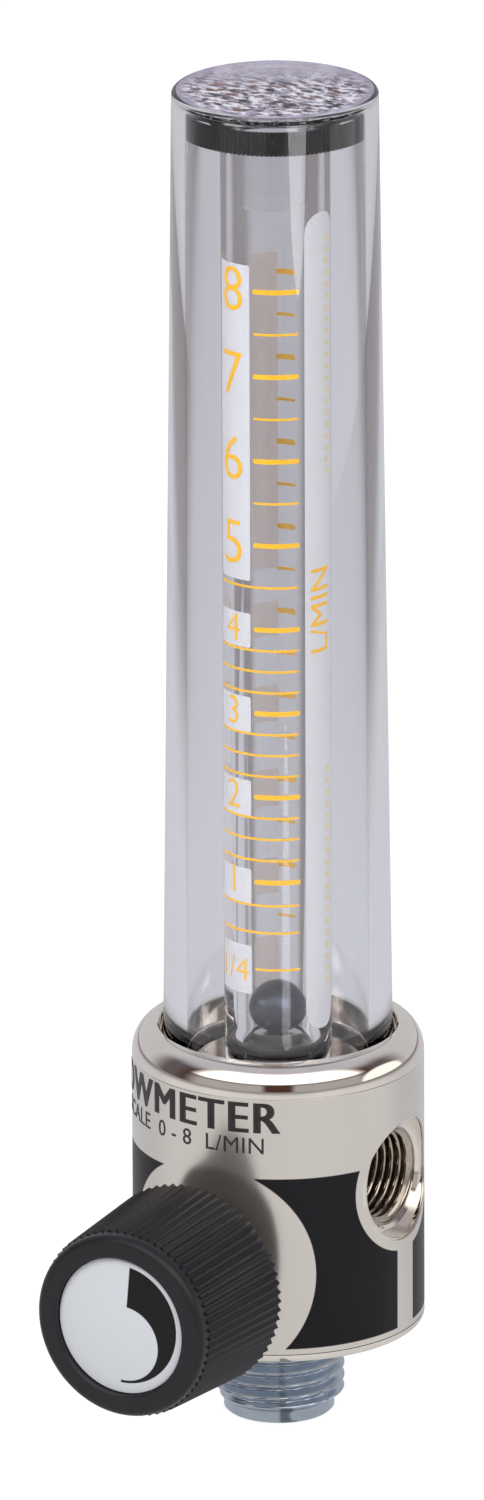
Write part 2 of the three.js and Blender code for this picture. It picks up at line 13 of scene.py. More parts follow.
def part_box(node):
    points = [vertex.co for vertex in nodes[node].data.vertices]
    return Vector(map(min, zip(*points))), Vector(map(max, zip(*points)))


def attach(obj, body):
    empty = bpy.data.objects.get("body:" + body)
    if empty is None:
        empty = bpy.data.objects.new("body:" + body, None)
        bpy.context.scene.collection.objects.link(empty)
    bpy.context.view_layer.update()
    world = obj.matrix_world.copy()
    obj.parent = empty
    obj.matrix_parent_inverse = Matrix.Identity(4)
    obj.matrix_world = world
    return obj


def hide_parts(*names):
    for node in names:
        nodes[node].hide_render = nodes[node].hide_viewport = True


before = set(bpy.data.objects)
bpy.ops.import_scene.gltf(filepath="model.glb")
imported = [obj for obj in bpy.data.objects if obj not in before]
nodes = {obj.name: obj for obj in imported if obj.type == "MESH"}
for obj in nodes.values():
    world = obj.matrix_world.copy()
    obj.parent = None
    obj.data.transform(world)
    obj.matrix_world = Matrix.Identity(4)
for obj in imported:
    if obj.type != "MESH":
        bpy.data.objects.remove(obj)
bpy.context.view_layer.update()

# %% [markdown]
# The frame's origin is in the middle of the side port. A turner would measure from the foot of the
# flow tube's axis instead, in millimetres, so every piece below is drawn that way, and one helper moves
# a point from the bench to the frame.

# %% Bench coordinates
MM = 0.001
_shroud_low, _shroud_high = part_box("shroud")
AXIS_X = (_shroud_low.x + _shroud_high.x) / 2
BASE_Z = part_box("outlet_fitting")[0].z
VALVE_AXIS = 20.3
PORT_AXIS = -BASE_Z / MM
PORT_FACE = -AXIS_X / MM


def bench(x, y, z):
    """A point in millimetres from the foot of the tube's axis, as a point of the frame in metres."""
    return Vector((x * MM + AXIS_X, y * MM, z * MM + BASE_Z))


def upright(x, y, z):
    return bench(x, y, z)


def along_valve(x, y, z):
    """The piece's own Z points out through the knob."""
    return bench(x, -z, y + VALVE_AXIS)


def along_port(x, y, z):
    """The piece's own Z points out of the side port."""
    return bench(z, y, PORT_AXIS - x)


print("tube axis at x", round(AXIS_X, 4), "port axis", round(PORT_AXIS, 2), "mm up")

# %% [markdown]
# The camera stands well back with a long lens, so that the tall tube hardly narrows towards its top.
# It is aimed a little to one side of the tube's axis, because the meter doesn't stand in the middle
# of the view.

# %% Camera
VIEW_AZIMUTH = math.radians(29.8)
VIEW_ELEVATION = math.radians(18.85)
VIEW_DISTANCE = 2234
AIM_HEIGHT = 75.468
AIM_SIDE = -3.788
FOCAL_LENGTH = 331.1
SENSOR_HEIGHT = 24
CAMERA_ROLL = -0.22

towards_camera = Vector(
    (
        math.sin(VIEW_AZIMUTH) * math.cos(VIEW_ELEVATION),
        -math.cos(VIEW_AZIMUTH) * math.cos(VIEW_ELEVATION),
        math.sin(VIEW_ELEVATION),
    )
)
to_the_right = Vector((math.cos(VIEW_AZIMUTH), math.sin(VIEW_AZIMUTH), 0))
aim = bench(0, 0, AIM_HEIGHT) + to_the_right * AIM_SIDE * MM
camera = bpy.data.objects.new("camera", bpy.data.cameras.new("camera"))
camera.data.sensor_fit = "VERTICAL"
camera.data.sensor_height = SENSOR_HEIGHT
camera.data.lens = FOCAL_LENGTH
camera.data.clip_end = 50
camera.location = aim + towards_camera * VIEW_DISTANCE * MM
camera.rotation_euler = (
    (-towards_camera).to_track_quat("-Z", "Y") @ Quaternion((0, 0, 1), math.radians(CAMERA_ROLL))
).to_euler()
bpy.context.scene.collection.objects.link(camera)
bpy.context.scene.camera = camera
bpy.context.scene.view_settings.view_transform = "Standard"
print("camera at", [round(v, 3) for v in camera.location])

# %% [markdown]
# Shader maths reads best as plain sums. `Signal` wraps a node's output, so that `1 - mask` or
# `height * 3` adds the Math node by itself, and `Finish.node` makes any other node from its type, its
# settings and what goes into its sockets.

# %% Writing a finish as sums
class Signal:
    def __init__(self, finish, socket):
        self.finish, self.socket = finish, socket

    def maths(self, operation, first, second=0.0):
        return self.finish.node("ShaderNodeMath", {"operation": operation}, {0: first, 1: second})

    def __add__(self, other):
        return self.maths("ADD", self, other)

    def __sub__(self, other):
        return self.maths("SUBTRACT", self, other)

    def __mul__(self, other):
        return self.maths("MULTIPLY", self, other)

    def __rsub__(self, other):
        return self.maths("SUBTRACT", other, self)

    def __neg__(self):
        return self.maths("MULTIPLY", self, -1.0)

    __radd__, __rmul__ = __add__, __mul__

    def step(self, edge, soft):
        """0 below the edge and 1 above it, with a soft ramp as wide as soft."""
        ramp = {"interpolation_type": "SMOOTHSTEP"}
        sockets = {"Value": self, "From Min": edge - soft / 2, "From Max": edge + soft / 2}
        return self.finish.node("ShaderNodeMapRange", ramp, sockets)

    def between(self, low, high, soft):
        return self.step(low, soft) * (1 - self.step(high, soft))

    def upper(self, other):
        return self.maths("MAXIMUM", self, other)

    def absolute(self):
        return self.maths("ABSOLUTE", self)

    def squared(self):
        return self * self

    def root(self):
        return self.maths("SQRT", self)


class Finish:
    def __init__(self, name, tree=None):
        if tree is None:
            self.material = bpy.data.materials.new(name)
            self.material.use_nodes = True
            tree = self.material.node_tree
        self.tree = tree
        self.tree.nodes.clear()

    def node(self, kind, settings=None, sockets=None, output=0):
        made = self.tree.nodes.new(kind)
        for name, value in (settings or {}).items():
            setattr(made, name, value)
        for name, value in (sockets or {}).items():
            if isinstance(value, Signal):
                self.tree.links.new(value.socket, made.inputs[name])
            else:
                made.inputs[name].default_value = value
        return Signal(self, made.outputs[output]) if made.outputs else None

    def place(self):
        """X, Y and Z of the bench in millimetres."""
        where = self.node("ShaderNodeTexCoord", output="Object")
        apart = self.tree.nodes.new("ShaderNodeSeparateXYZ")
        self.tree.links.new(where.socket, apart.inputs[0])
        x, y, z = (Signal(self, apart.outputs[i]) for i in range(3))
        return (x - AXIS_X) * 1000.0, y * 1000.0, (z - BASE_Z) * 1000.0

    def grain(self, scale, detail=3.0, stretch=(1, 1, 1)):
        """Noise from 0 to 1, with scale in lumps to the metre."""
        where = self.node("ShaderNodeTexCoord", output="Object")
        shaped = self.node("ShaderNodeMapping", {}, {"Vector": where, "Scale": stretch})
        sockets = {"Vector": shaped, "Scale": scale, "Detail": detail}
        return self.node("ShaderNodeTexNoise", {}, sockets)

    def blend(self, amount, first, second):
        """One colour turning into another as amount goes from 0 to 1."""
        sockets = {"Factor": amount, 6: first, 7: second}
        return self.node("ShaderNodeMix", {"data_type": "RGBA"}, sockets, 2)

    def bump(self, height, distance):
        sockets = {"Height": height, "Distance": distance, "Strength": 1.0}
        return self.node("ShaderNodeBump", {}, sockets)

    def surface(self, **sockets):
        """The shader, and the material's output."""
        named = {name.replace("_", " "): value for name, value in sockets.items()}
        shader = self.node("ShaderNodeBsdfPrincipled", {}, named)
        self.node("ShaderNodeOutputMaterial", {}, {"Surface": shader})
        return self.material


def rgb(red, green, blue):
    """A colour given as seen on a screen, from 0 to 255, as light."""
    light = [((v / 255 + 0.055) / 1.055) ** 2.4 if v > 10 else v / 3295 for v in (red, green, blue)]
    return (*light, 1)


# %% [markdown]
# Metals first. Chrome is nearly a mirror: what makes it look real is a faint unevenness in its gloss.
# The outlet's plating is duller, because the cut thread under it is rough.

# %% Metal finishes
def metal(name, colour, darker, roughness, spread, scale, bump=0.0, stretch=(1, 1, 1)):
    finish = Finish(name)
    mottle = finish.grain(scale, 4.0, stretch)
    return finish.surface(
        Base_Color=finish.blend(mottle, colour, darker),
        Metallic=1.0,
        Roughness=roughness + mottle * spread,
        Normal=finish.bump(mottle, bump),
    )


chrome = metal("chrome", rgb(244, 238, 230), rgb(226, 219, 210), 0.035, 0.05, 260, 0.000002)
outlet_chrome = metal("outlet_chrome", rgb(194, 203, 214), rgb(164, 175, 188), 0.13, 0.12, 500, 0.000006)
port_chrome = metal("port_chrome", rgb(214, 203, 190), rgb(150, 138, 126), 0.10, 0.10, 700, 0.000004)
nickel = metal("nickel", rgb(212, 210, 206), rgb(186, 184, 182), 0.16, 0.12, 600, 0.000004, (1, 1, 8))
brass = metal("brass", rgb(222, 194, 128), rgb(196, 164, 98), 0.2, 0.16, 500, 0.000005)
bronze = metal("bronze", rgb(166, 128, 84), rgb(112, 82, 50), 0.5, 0.3, 5200, 0.00004)
clip_steel = metal("dark_steel", rgb(118, 120, 126), rgb(92, 94, 100), 0.22, 0.15, 700, 0.000004)
ball_steel = metal("ball_steel", rgb(92, 97, 112), rgb(66, 71, 84), 0.3, 0.10, 900, 0.000003)
print("metals:", chrome.name, outlet_chrome.name, nickel.name, brass.name)

# %% [markdown]
# Rubber, nylon and the knob's moulded plastic are not metals, so their colour lies under a clear skin.
# Each gets its own grain: rubber is dusty, nylon is waxy, and the knob is fine leather-like moulding.

# %% Moulded finishes
def moulded(name, colour, other, roughness, spread, scale, bump, shine=0.5):
    finish = Finish(name)
    mottle = finish.grain(scale)
    fine = finish.grain(scale * 6, 2.0)
    return finish.surface(
        Base_Color=finish.blend(mottle, colour, other),
        Roughness=roughness + mottle * spread,
        Specular_IOR_Level=shine,
        Normal=finish.bump(fine, bump),
    )


black_rubber = moulded("black_rubber", rgb(22, 21, 22), rgb(38, 36, 36), 0.42, 0.2, 900, 0.00001)
# This near-black finish is no rubber. It is the painted shade of the clear head ring's rough toothed edge.
dark_band_painted_shade = moulded("grey_rubber", rgb(12, 13, 15), rgb(36, 35, 37), 0.5, 0.2, 1600, 0.00002, 0.2)
white_nylon = moulded("white_nylon", rgb(236, 233, 222), rgb(222, 218, 204), 0.4, 0.2, 500, 0.00001)
knob_black = moulded("knob_black", rgb(18, 17, 20), rgb(29, 27, 31), 0.3, 0.12, 1400, 0.000012, 0.33)
print("moulded:", black_rubber.name, knob_black.name)

# %% [markdown]
# The shroud and the flow tube are clear plastic. A real glass shader bends light as the thick walls do,
# but it would throw a black shadow, so rays that only ask whether a lamp is hidden pass straight
# through a tinted clear shader instead.

# %% Clear plastic
def clear(name, tint, refraction, shade):
    finish = Finish(name)
    haze = finish.grain(140, 2.0)
    body = finish.node(
        "ShaderNodeBsdfPrincipled",
        {},
        {
            "Base Color": tint,
            "Roughness": 0.006 + haze * 0.014,
            "IOR": refraction,
            "Transmission Weight": 1.0,
        },
    )
    passing = finish.node("ShaderNodeBsdfTransparent", {}, {"Color": shade})
    shadow = finish.node("ShaderNodeLightPath", output="Is Shadow Ray")
    mixed = finish.node("ShaderNodeMixShader", {}, {0: shadow, 1: body, 2: passing})
    finish.node("ShaderNodeOutputMaterial", {}, {"Surface": mixed})
    return finish.material


clear_shroud = clear("clear_shroud", (0.945, 0.945, 0.965, 1), 1.50, (0.93, 0.93, 0.95, 1))
clear_tube = clear("clear_tube", (0.96, 0.96, 0.965, 1), 1.49, (0.95, 0.95, 0.96, 1))
clear_stop = clear("clear_stop", (0.96, 0.96, 0.965, 1), 1.06, (0.95, 0.95, 0.96, 1))
print("clear:", clear_shroud.name, clear_tube.name, clear_stop.name)

# %% [markdown]
# Printing ink is thin and flat. It still shows the screen's weave and slight gaps, so the colour and
# gloss vary a little.

# %% Inks
def ink(name, colour, other, roughness=0.45):
    finish = Finish(name)
    mottle = finish.grain(2600, 3.0)
    return finish.surface(
        Base_Color=finish.blend(mottle, colour, other),
        Roughness=roughness + mottle * 0.15,
        Normal=finish.bump(mottle, 0.000004),
    )


yellow_ink = ink("yellow_ink", rgb(245, 190, 16), rgb(230, 168, 20))
pale_ink = ink("pale_ink", rgb(214, 202, 164), rgb(204, 190, 146))
white_ink = ink("white_ink", rgb(206, 207, 210), rgb(194, 195, 199))
black_ink = ink("black_ink", rgb(30, 27, 28), rgb(46, 42, 42), 0.35)
print("inks:", yellow_ink.name, white_ink.name, black_ink.name)

# %% [markdown]
# Nearly every piece of this meter came off a lathe. `turned` spins an outline of radius and height
# pairs round an axis. A pair may carry a third number, which says how much of a screw thread is cut
# there, and then the radius follows a helix.

# %% The lathe
SHARP_EDGE = math.radians(28)


def thread_height(turns):
    """0 at the thread's root and 1 at its rounded crest."""
    part = turns % 1.0
    ramp = 1 - abs(2 * part - 1)
    return ramp * ramp * (3 - 2 * ramp)


def spun_mesh(name, outline, where, segments, pitch=1.0, depth=0.0):
    open_ends = outline[0][0] == 0 and outline[-1][0] == 0
    corners, rows = [], []
    for point in outline:
        radius, height = point[0], point[1]
        cut = point[2] if len(point) > 2 else 0
        count = 1 if radius == 0 else segments
        rows.append([len(corners) + i for i in range(count)])
        for i in range(count):
            angle = 2 * math.pi * i / segments
            drop = cut * depth * (1 - thread_height(height / pitch - i / segments)) if cut else 0
            reach = radius - drop
            corners.append(where(reach * math.cos(angle), reach * math.sin(angle), height))
    faces = []
    pairs = list(zip(rows, rows[1:])) + ([] if open_ends else [(rows[-1], rows[0])])
    for low, high in pairs:
        for i in range(segments):
            j = (i + 1) % segments
            face = [low[i % len(low)], low[j % len(low)], high[j % len(high)], high[i % len(high)]]
            single = list(dict.fromkeys(face))
            if len(single) > 2:
                faces.append(single)
    mesh = bpy.data.meshes.new(name)
    mesh.from_pydata(corners, [], faces)
    return mesh


def as_object(name, mesh):
    piece = bpy.data.objects.new(name, mesh)
    bpy.context.scene.collection.objects.link(piece)
    return piece


def finish_piece(piece, material, body, slot, *stands_for):
    """Smooth faces between sharp edges, the material, the body it moves with and what it stands for."""
    piece.data.shade_smooth()
    piece.data.set_sharp_from_angle(angle=SHARP_EDGE)
    piece.data.materials.clear()
    piece.data.materials.append(material)
    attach(piece, body)
    if stands_for:
        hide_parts(*stands_for)
    print(piece.name, len(piece.data.polygons), "faces")
    return piece


def turned(name, outline, material, body, slot, stands_for=(), where=upright, segments=128, **thread):
    piece = as_object(name, spun_mesh(name, outline, where, segments, **thread))
    return finish_piece(piece, material, body, slot, *stands_for)


def rounded(radius, height, across, up, start, steps=8):
    """Points of a quarter round, or quarter ellipse, about its centre, running anticlockwise."""
    turn = [math.radians(start + 90 * i / steps) for i in range(steps + 1)]
    return [(radius + across * math.cos(a), height + up * math.sin(a)) for a in turn]


def hollowed(piece, *cutters):
    """The piece with the cutters' shapes taken out of it, as a plain mesh."""
    for cutter in cutters:
        cut = piece.modifiers.new("cut", "BOOLEAN")
        cut.operation, cut.solver, cut.object = "DIFFERENCE", "EXACT", cutter
    depsgraph = bpy.context.evaluated_depsgraph_get()
    made = bpy.data.meshes.new_from_object(piece.evaluated_get(depsgraph))
    piece.modifiers.clear()
    piece.data = made
    for cutter in cutters:
        bpy.data.objects.remove(cutter)
    return piece


print("the lathe is ready, with edges over", round(math.degrees(SHARP_EDGE)), "degrees kept sharp")

# %% [markdown]
# The body is a stub of brass bar, chromed. Its outline has a rounded shoulder, a shallow seat for the
# label and a pocket for the shroud. The side port and the valve's hole are then bored through it.

# %% Body
BODY_R, BODY_BOTTOM, BODY_TOP = 15.875, 10.7, 44.4
BOTTOM_EDGE, SHOULDER_WIDTH, SHOULDER_HEIGHT = 0.65, 2.4, 3.3
LABEL_BOTTOM, LABEL_TOP, LABEL_SEAT_R = 11.6, 41.0, BODY_R - 0.24
POCKET_MOUTH_R, POCKET_R, POCKET_FLOOR = 12.95, 12.6, 34.4
BOSS_R, BOSS_TOP, BOSS_EDGE = 9.6, 40.6, 0.25
PASSAGE_R, RETURN_R, RETURN_OFFSET = 2, 1.2, 7.8
PORT_BORE_R, PORT_BLIND_END, PORT_FACE_R = 5.42, 4.5, 6.6
SPOT_FACE, SPOT_FACE_R = 14.5, 6.7
OUTSIDE = BODY_R + 1
BODY_SEGMENTS = 320

body_outline = [
    (0, BODY_BOTTOM),
    *rounded(BODY_R - BOTTOM_EDGE, BODY_BOTTOM + BOTTOM_EDGE, BOTTOM_EDGE, BOTTOM_EDGE, -90, 6),
    (BODY_R, LABEL_BOTTOM),
    (LABEL_SEAT_R, LABEL_BOTTOM),
    (LABEL_SEAT_R, LABEL_TOP),
    (BODY_R, LABEL_TOP),
    *rounded(BODY_R - SHOULDER_WIDTH, BODY_TOP - SHOULDER_HEIGHT, SHOULDER_WIDTH, SHOULDER_HEIGHT, 0, 20),
    (POCKET_MOUTH_R + 0.15, BODY_TOP),
    (POCKET_MOUTH_R, BODY_TOP - 0.15),
    (POCKET_MOUTH_R, 41.6),
    (POCKET_R, 41.5),
    (POCKET_R, POCKET_FLOOR),
    (BOSS_R, POCKET_FLOOR),
    (BOSS_R, BOSS_TOP - BOSS_EDGE),
    (BOSS_R - BOSS_EDGE, BOSS_TOP),
    (0, BOSS_TOP),
]
port_bore = [
    (0, -1),
    (PASSAGE_R, -1),
    (PASSAGE_R, PORT_BLIND_END),
    (PORT_BORE_R, PORT_BLIND_END),
    (PORT_BORE_R, PORT_FACE - 0.35),
    (5.8, PORT_FACE),
    (PORT_FACE_R, PORT_FACE),
    (PORT_FACE_R, OUTSIDE),
    (0, OUTSIDE),
]
valve_bore = [(0, 3.2), (2.5, 3.2), (2.5, 5.5), (3, 5.5), (3, 9.5), (5, 9.5), (5, SPOT_FACE)]
valve_bore += [(SPOT_FACE_R, SPOT_FACE), (SPOT_FACE_R, OUTSIDE), (0, OUTSIDE)]
seat_bore = [(0, 28), (PASSAGE_R, 28), (PASSAGE_R, 35.3), (2.4, 35.3), (2.4, 42), (0, 42)]
return_bore = [(0, VALVE_AXIS), (RETURN_R, VALVE_AXIS), (RETURN_R, 42), (0, 42)]
outlet_bore = [(0, 9), (5.5, 9), (5.5, 16.2), (PASSAGE_R, 16.2), (PASSAGE_R, 20), (0, 20)]


def tool(name, outline, where, segments=96):
    return as_object(name, spun_mesh(name, outline, where, segments))


def return_hole_place(x, y, z):
    return bench(x, y - RETURN_OFFSET, z)


body_piece = as_object("body", spun_mesh("body", body_outline, upright, BODY_SEGMENTS))
hollowed(
    body_piece,
    tool("port_tool", port_bore, along_port, 128),
    tool("valve_tool", valve_bore, along_valve),
    tool("seat_tool", seat_bore, upright, 48),
    tool("return_tool", return_bore, return_hole_place, 32),
    tool("outlet_tool", outlet_bore, upright, 64),
)
finish_piece(body_piece, chrome, "meter", "chrome", "valve_body")

# %% [markdown]
# The port's thread is a sleeve in the bore. It is cut as one helix, so that the turns run uphill round
# the hole as on a tapped thread, and its crests are rounded off where they catch the light.

# %% Port thread
PORT_PITCH, PORT_THREAD_DEPTH = 0.94, 0.62
PORT_THREAD_R, PORT_SLEEVE_R = 5.22, 5.4
PORT_THREAD_START, PORT_THREAD_END = PORT_FACE - 0.42, 6.4
PORT_STEPS, PORT_FADE_STEPS = 110, 8

port_thread = [(PORT_SLEEVE_R, PORT_THREAD_END), (PORT_SLEEVE_R, PORT_THREAD_START)]
for i in range(PORT_STEPS + 1):
    height = PORT_THREAD_START - (PORT_THREAD_START - PORT_THREAD_END) * i / PORT_STEPS
    fade = min(1, i / PORT_FADE_STEPS)
    port_thread.append((PORT_THREAD_R - 0.02 * fade, height, fade))
turned(
    "port_thread", port_thread, port_chrome, "meter", "chrome",
    where=along_port, segments=96, pitch=PORT_PITCH, depth=PORT_THREAD_DEPTH,
)

# %% [markdown]
# The label is a thin printed sleeve in its shallow seat, with a window for the port and one for the
# valve. Its black panels are painted by sums on the angle round the body and the height, as the
# printer's artwork would be laid out on a flat strip.

# %% Label's printed finish
KNOB_RING_MIDDLE, KNOB_RING_R, PORT_RING_R = 20.8, 12.3, 7.9
PANEL_BOTTOM, PANEL_TOP, LEFT_PANEL_TOP = 12.3, 31.9, 31.6
EDGE_BLUR, SIDE_BLUR = 0.12, 0.4


def label_finish():
    finish = Finish("label_foil")
    x, y, z = finish.place()
    turn = finish.node("ShaderNodeMath", {"operation": "ARCTAN2"}, {0: x, 1: -y}) * (180 / math.pi)
    round_from_knob = turn * (BODY_R * math.pi / 180)
    round_from_port = (turn - 90.0) * (BODY_R * math.pi / 180)
    from_knob = (round_from_knob.squared() + (z - KNOB_RING_MIDDLE).squared()).root()
    from_port = (round_from_port.squared() + (z - PORT_AXIS).squared()).root()
    clear_of_knob = from_knob.step(KNOB_RING_R, EDGE_BLUR)
    clear_of_port = from_port.step(PORT_RING_R, EDGE_BLUR)
    panel = z.between(PANEL_BOTTOM, PANEL_TOP, EDGE_BLUR)
    left_panel = z.between(PANEL_BOTTOM, LEFT_PANEL_TOP, EDGE_BLUR)
    right = turn.between(0.0, 84.0, SIDE_BLUR) * panel * clear_of_knob * clear_of_port
    left = turn.between(-150.0, -2.0, SIDE_BLUR) * left_panel * clear_of_knob
    back = turn.upper(turn * -1.0).between(96.0, 400.0, SIDE_BLUR) * panel
    side = turn.between(90.0, 180.0, SIDE_BLUR) * back * clear_of_port
    far_side = turn.between(-181.0, -149.0, SIDE_BLUR) * back
    print_mask = right.upper(left).upper(side).upper(far_side)
    cloud = finish.grain(90, 4.0)
    brushed = finish.grain(4200, 2.0)
    foil = finish.blend(cloud, rgb(226, 221, 213), rgb(214, 208, 200))
    black = finish.blend(cloud, rgb(25, 24, 28), rgb(18, 17, 21))
    return finish.surface(
        Base_Color=finish.blend(print_mask, foil, black),
        Metallic=(1 - print_mask) * 0.93,
        Roughness=0.17 + brushed * 0.08 + print_mask * 0.14,
        Specular_IOR_Level=0.15,
        Normal=finish.bump(brushed, 0.000001),
    )


label_foil = label_finish()
LABEL_INSIDE_R, LABEL_EDGE_R, LABEL_R = 15.675, 15.835, 15.87
END_GAP, EDGE_GAP = 0.05, 0.09
VALVE_WINDOW_R, PORT_WINDOW_R = 6.9, 6.8
label_outline = [
    (LABEL_INSIDE_R, LABEL_BOTTOM + END_GAP),
    (LABEL_EDGE_R, LABEL_BOTTOM + END_GAP),
    (LABEL_R, LABEL_BOTTOM + EDGE_GAP),
    (LABEL_R, LABEL_TOP - EDGE_GAP),
    (LABEL_EDGE_R, LABEL_TOP - END_GAP),
    (LABEL_INSIDE_R, LABEL_TOP - END_GAP),
]


def window(name, radius, where, segments):
    return tool(name, [(0, 10), (radius, 10), (radius, 18), (0, 18)], where, segments)


label = as_object("label", spun_mesh("label", label_outline, upright, BODY_SEGMENTS))
hollowed(
    label,
    window("label_valve_tool", VALVE_WINDOW_R, along_valve, 96),
    window("label_port_tool", PORT_WINDOW_R, along_port, 128),
)
finish_piece(label, label_foil, "meter", "label_foil", "wrap_label")

# %% [markdown]
# The outlet carries a true helical thread. The crests fade out at the thread's lower end, as a die leaves
# them, and a plain pilot below guides the nut on.

# %% Outlet
OUTLET_PITCH, OUTLET_R, OUTLET_THREAD_DEPTH = 1.411, 7.145, 0.87
MOUTH_R, PILOT_R, RUN_IN_R, SHANK_R, SHANK_TOP = 4, 6.03, 6.05, 5.35, 14.5
THREAD_BOTTOM, THREAD_LENGTH = 1.25, 9.15
OUTLET_STEPS, RUN_IN_STEPS = 120, 14

outlet_outline = [(PASSAGE_R, 6.2), (MOUTH_R, 5), (MOUTH_R, 0.9), (4.9, 0), (5.75, 0), (PILOT_R, 0.28)]
outlet_outline.append((PILOT_R, 1.1))
for i in range(OUTLET_STEPS + 1):
    height = THREAD_BOTTOM + THREAD_LENGTH * i / OUTLET_STEPS
    start = min(1, i / RUN_IN_STEPS)
    outlet_outline.append((RUN_IN_R + (OUTLET_R - RUN_IN_R) * start, height, start))
outlet_outline += [(SHANK_R, 10.5), (SHANK_R, SHANK_TOP), (PASSAGE_R, SHANK_TOP)]
turned(
    "outlet", outlet_outline, outlet_chrome, "meter", "outlet_chrome", ("outlet_fitting",),
    pitch=OUTLET_PITCH, depth=OUTLET_THREAD_DEPTH,
)

# %% [markdown]
# The shroud is one thick clear cup, turned over. Its taper, outside and in, draws the darker upright
# bands near its sides, which is where the inner wall throws the light back.

# %% Shroud
SHROUD_BOTTOM, SHROUD_TOP, CEILING = 36.2, 150, 149
FOOT_R, HEAD_R, HEAD_EDGE, INNER_FOOT_R = 12.45, 11.12, 0.5, 9.85
STIPPLE, STIPPLE_STEP, STIPPLE_R = 0.16, 0.3, 8.4
shroud_outline = [
    (INNER_FOOT_R, SHROUD_BOTTOM),
    (FOOT_R, SHROUD_BOTTOM),
    (FOOT_R, BODY_TOP),
    *rounded(HEAD_R - HEAD_EDGE, SHROUD_TOP - HEAD_EDGE, HEAD_EDGE, HEAD_EDGE, 0, 8),
    (0, SHROUD_TOP),
    (0, CEILING),
    *[(STIPPLE_STEP * i, CEILING) for i in range(1, 30)],
    (9.12, 148.86),
    (9.3, 148.4),
]
shroud_piece = turned(
    "clear_shroud", shroud_outline, clear_shroud, "meter", "clear_shroud", ("shroud",), segments=192
)
stippled = 0
for corner in shroud_piece.data.vertices:
    x, y = (corner.co.x - AXIS_X) / MM, corner.co.y / MM
    on_ceiling = abs((corner.co.z - BASE_Z) / MM - CEILING) < 0.001
    if on_ceiling and STIPPLE_STEP / 2 < math.hypot(x, y) < STIPPLE_R:
        pits = math.sin(3.1 * x + 1.7 * math.sin(2.3 * y)) * math.sin(2.7 * y + 1.9 * math.sin(1.9 * x))
        corner.co.z -= STIPPLE * MM * pits
        stippled += 1
print(stippled, "corners of the ceiling stippled")

# %% [markdown]
# Seen through the cap, the toothed ring breaks up into light, brown and dark flecks, and the mould leaves the
# cap's edge a little matt. A real haze is thinner than a hair, so here it is a translucent disc that lies on
# the cap. Its matt edge stands for that haze. Its lavender cloud and its light, brown and dark flecks are a
# painted refraction of the ring and the room seen through the cap, and the flecks are sums on two layers of
# noise.

# %% Haze and painted refraction on the cap
def haze_finish():
    finish = Finish("cap_haze_and_painted_refraction")
    x, y, _ = finish.place()
    out = (x.squared() + y.squared()).root()
    cloud = finish.grain(900, 4.0)
    fine = finish.grain(820, 4.0, (1, 1.7, 1))
    coarse = finish.grain(420, 3.0)
    # Painted refraction: the flecks lie only on the cap's half towards the camera and in its middle, where
    # the ring is seen through it.
    towards = x * math.sin(VIEW_AZIMUTH) - y * math.cos(VIEW_AZIMUTH)
    zone = (1 - out.step(9.9, 1.2)) * towards.step(-4.0, 9.0).upper(1 - out.step(2.6, 1.0))
    # Painted light: pale flecks are painted glints, dark flecks are painted shade, and the lavender is a
    # painted tint of the room seen through the cap.
    pale = fine.step(0.56, 0.05) * zone
    dark = (1 - fine.step(0.44, 0.05)) * zone
    lavender = finish.blend(cloud, rgb(200, 192, 214), rgb(150, 144, 166))
    fleck = finish.blend(coarse.step(0.52, 0.1), rgb(34, 34, 44), rgb(112, 74, 58))
    return finish.surface(
        Base_Color=finish.blend(pale, finish.blend(dark, lavender, fleck), rgb(236, 234, 242)),
        Roughness=0.3 + cloud * 0.3,
        Alpha=(0.3 + out.step(9.2, 0.5) * 0.2).upper(dark * 0.85).upper(pale * 0.6),
    )


CAP_DISC_R, CAP_DISC_BOTTOM, CAP_DISC_TOP = 10.6, SHROUD_TOP + 0.004, SHROUD_TOP + 0.02
cap_disc_outline = [(0, CAP_DISC_BOTTOM), (CAP_DISC_R, CAP_DISC_BOTTOM), (CAP_DISC_R, CAP_DISC_TOP), (0, CAP_DISC_TOP)]
# A disc of matt haze that carries a painted refraction of the toothed ring.
turned("cap_haze_and_painted_refraction", cap_disc_outline, haze_finish(), "meter", "clear_shroud", segments=192)

# %% [markdown]
# The flow tube's bore widens a little from foot to head: that taper is what turns the ball's height
# into a reading. Its foot opens to a socket that squeezes over an O-ring.

# %% Flow tube
TUBE_R, TUBE_BOTTOM, TUBE_TOP, TUBE_EDGE = 5.8, 40.8, 147, 0.3
SOCKET_R, SOCKET_TOP = 3.6, 43.6
BORE_FOOT_R, BORE_FOOT, BORE_HEAD_R, BORE_HEAD = 3.1, 44.6, 3.5, 138
tube_outline = [
    (SOCKET_R, TUBE_BOTTOM),
    (TUBE_R - TUBE_EDGE, TUBE_BOTTOM),
    (TUBE_R, TUBE_BOTTOM + TUBE_EDGE),
    (TUBE_R, TUBE_TOP - TUBE_EDGE),
    (TUBE_R - TUBE_EDGE, TUBE_TOP),
    (BORE_HEAD_R, TUBE_TOP),
    (BORE_HEAD_R, BORE_HEAD),
    (BORE_FOOT_R, BORE_FOOT),
    (SOCKET_R, SOCKET_TOP),
]
turned("clear_flow_tube", tube_outline, clear_tube, "meter", "clear_tube", ("flow_tube",), segments=160)

# %% [markdown]
# At the tube's foot the O-ring is squeezed against the socket's wall, so it is drawn bulging into the
# wall by a hair. Seen through the plastic it then looks much wider than it is, as the real one does.

# %% Ring, seat and ball
def ring_outline(centre, section, height, steps=24):
    turn = [2 * math.pi * i / steps for i in range(steps)]
    return [(centre + section * math.cos(a), height + section * math.sin(a)) for a in turn]


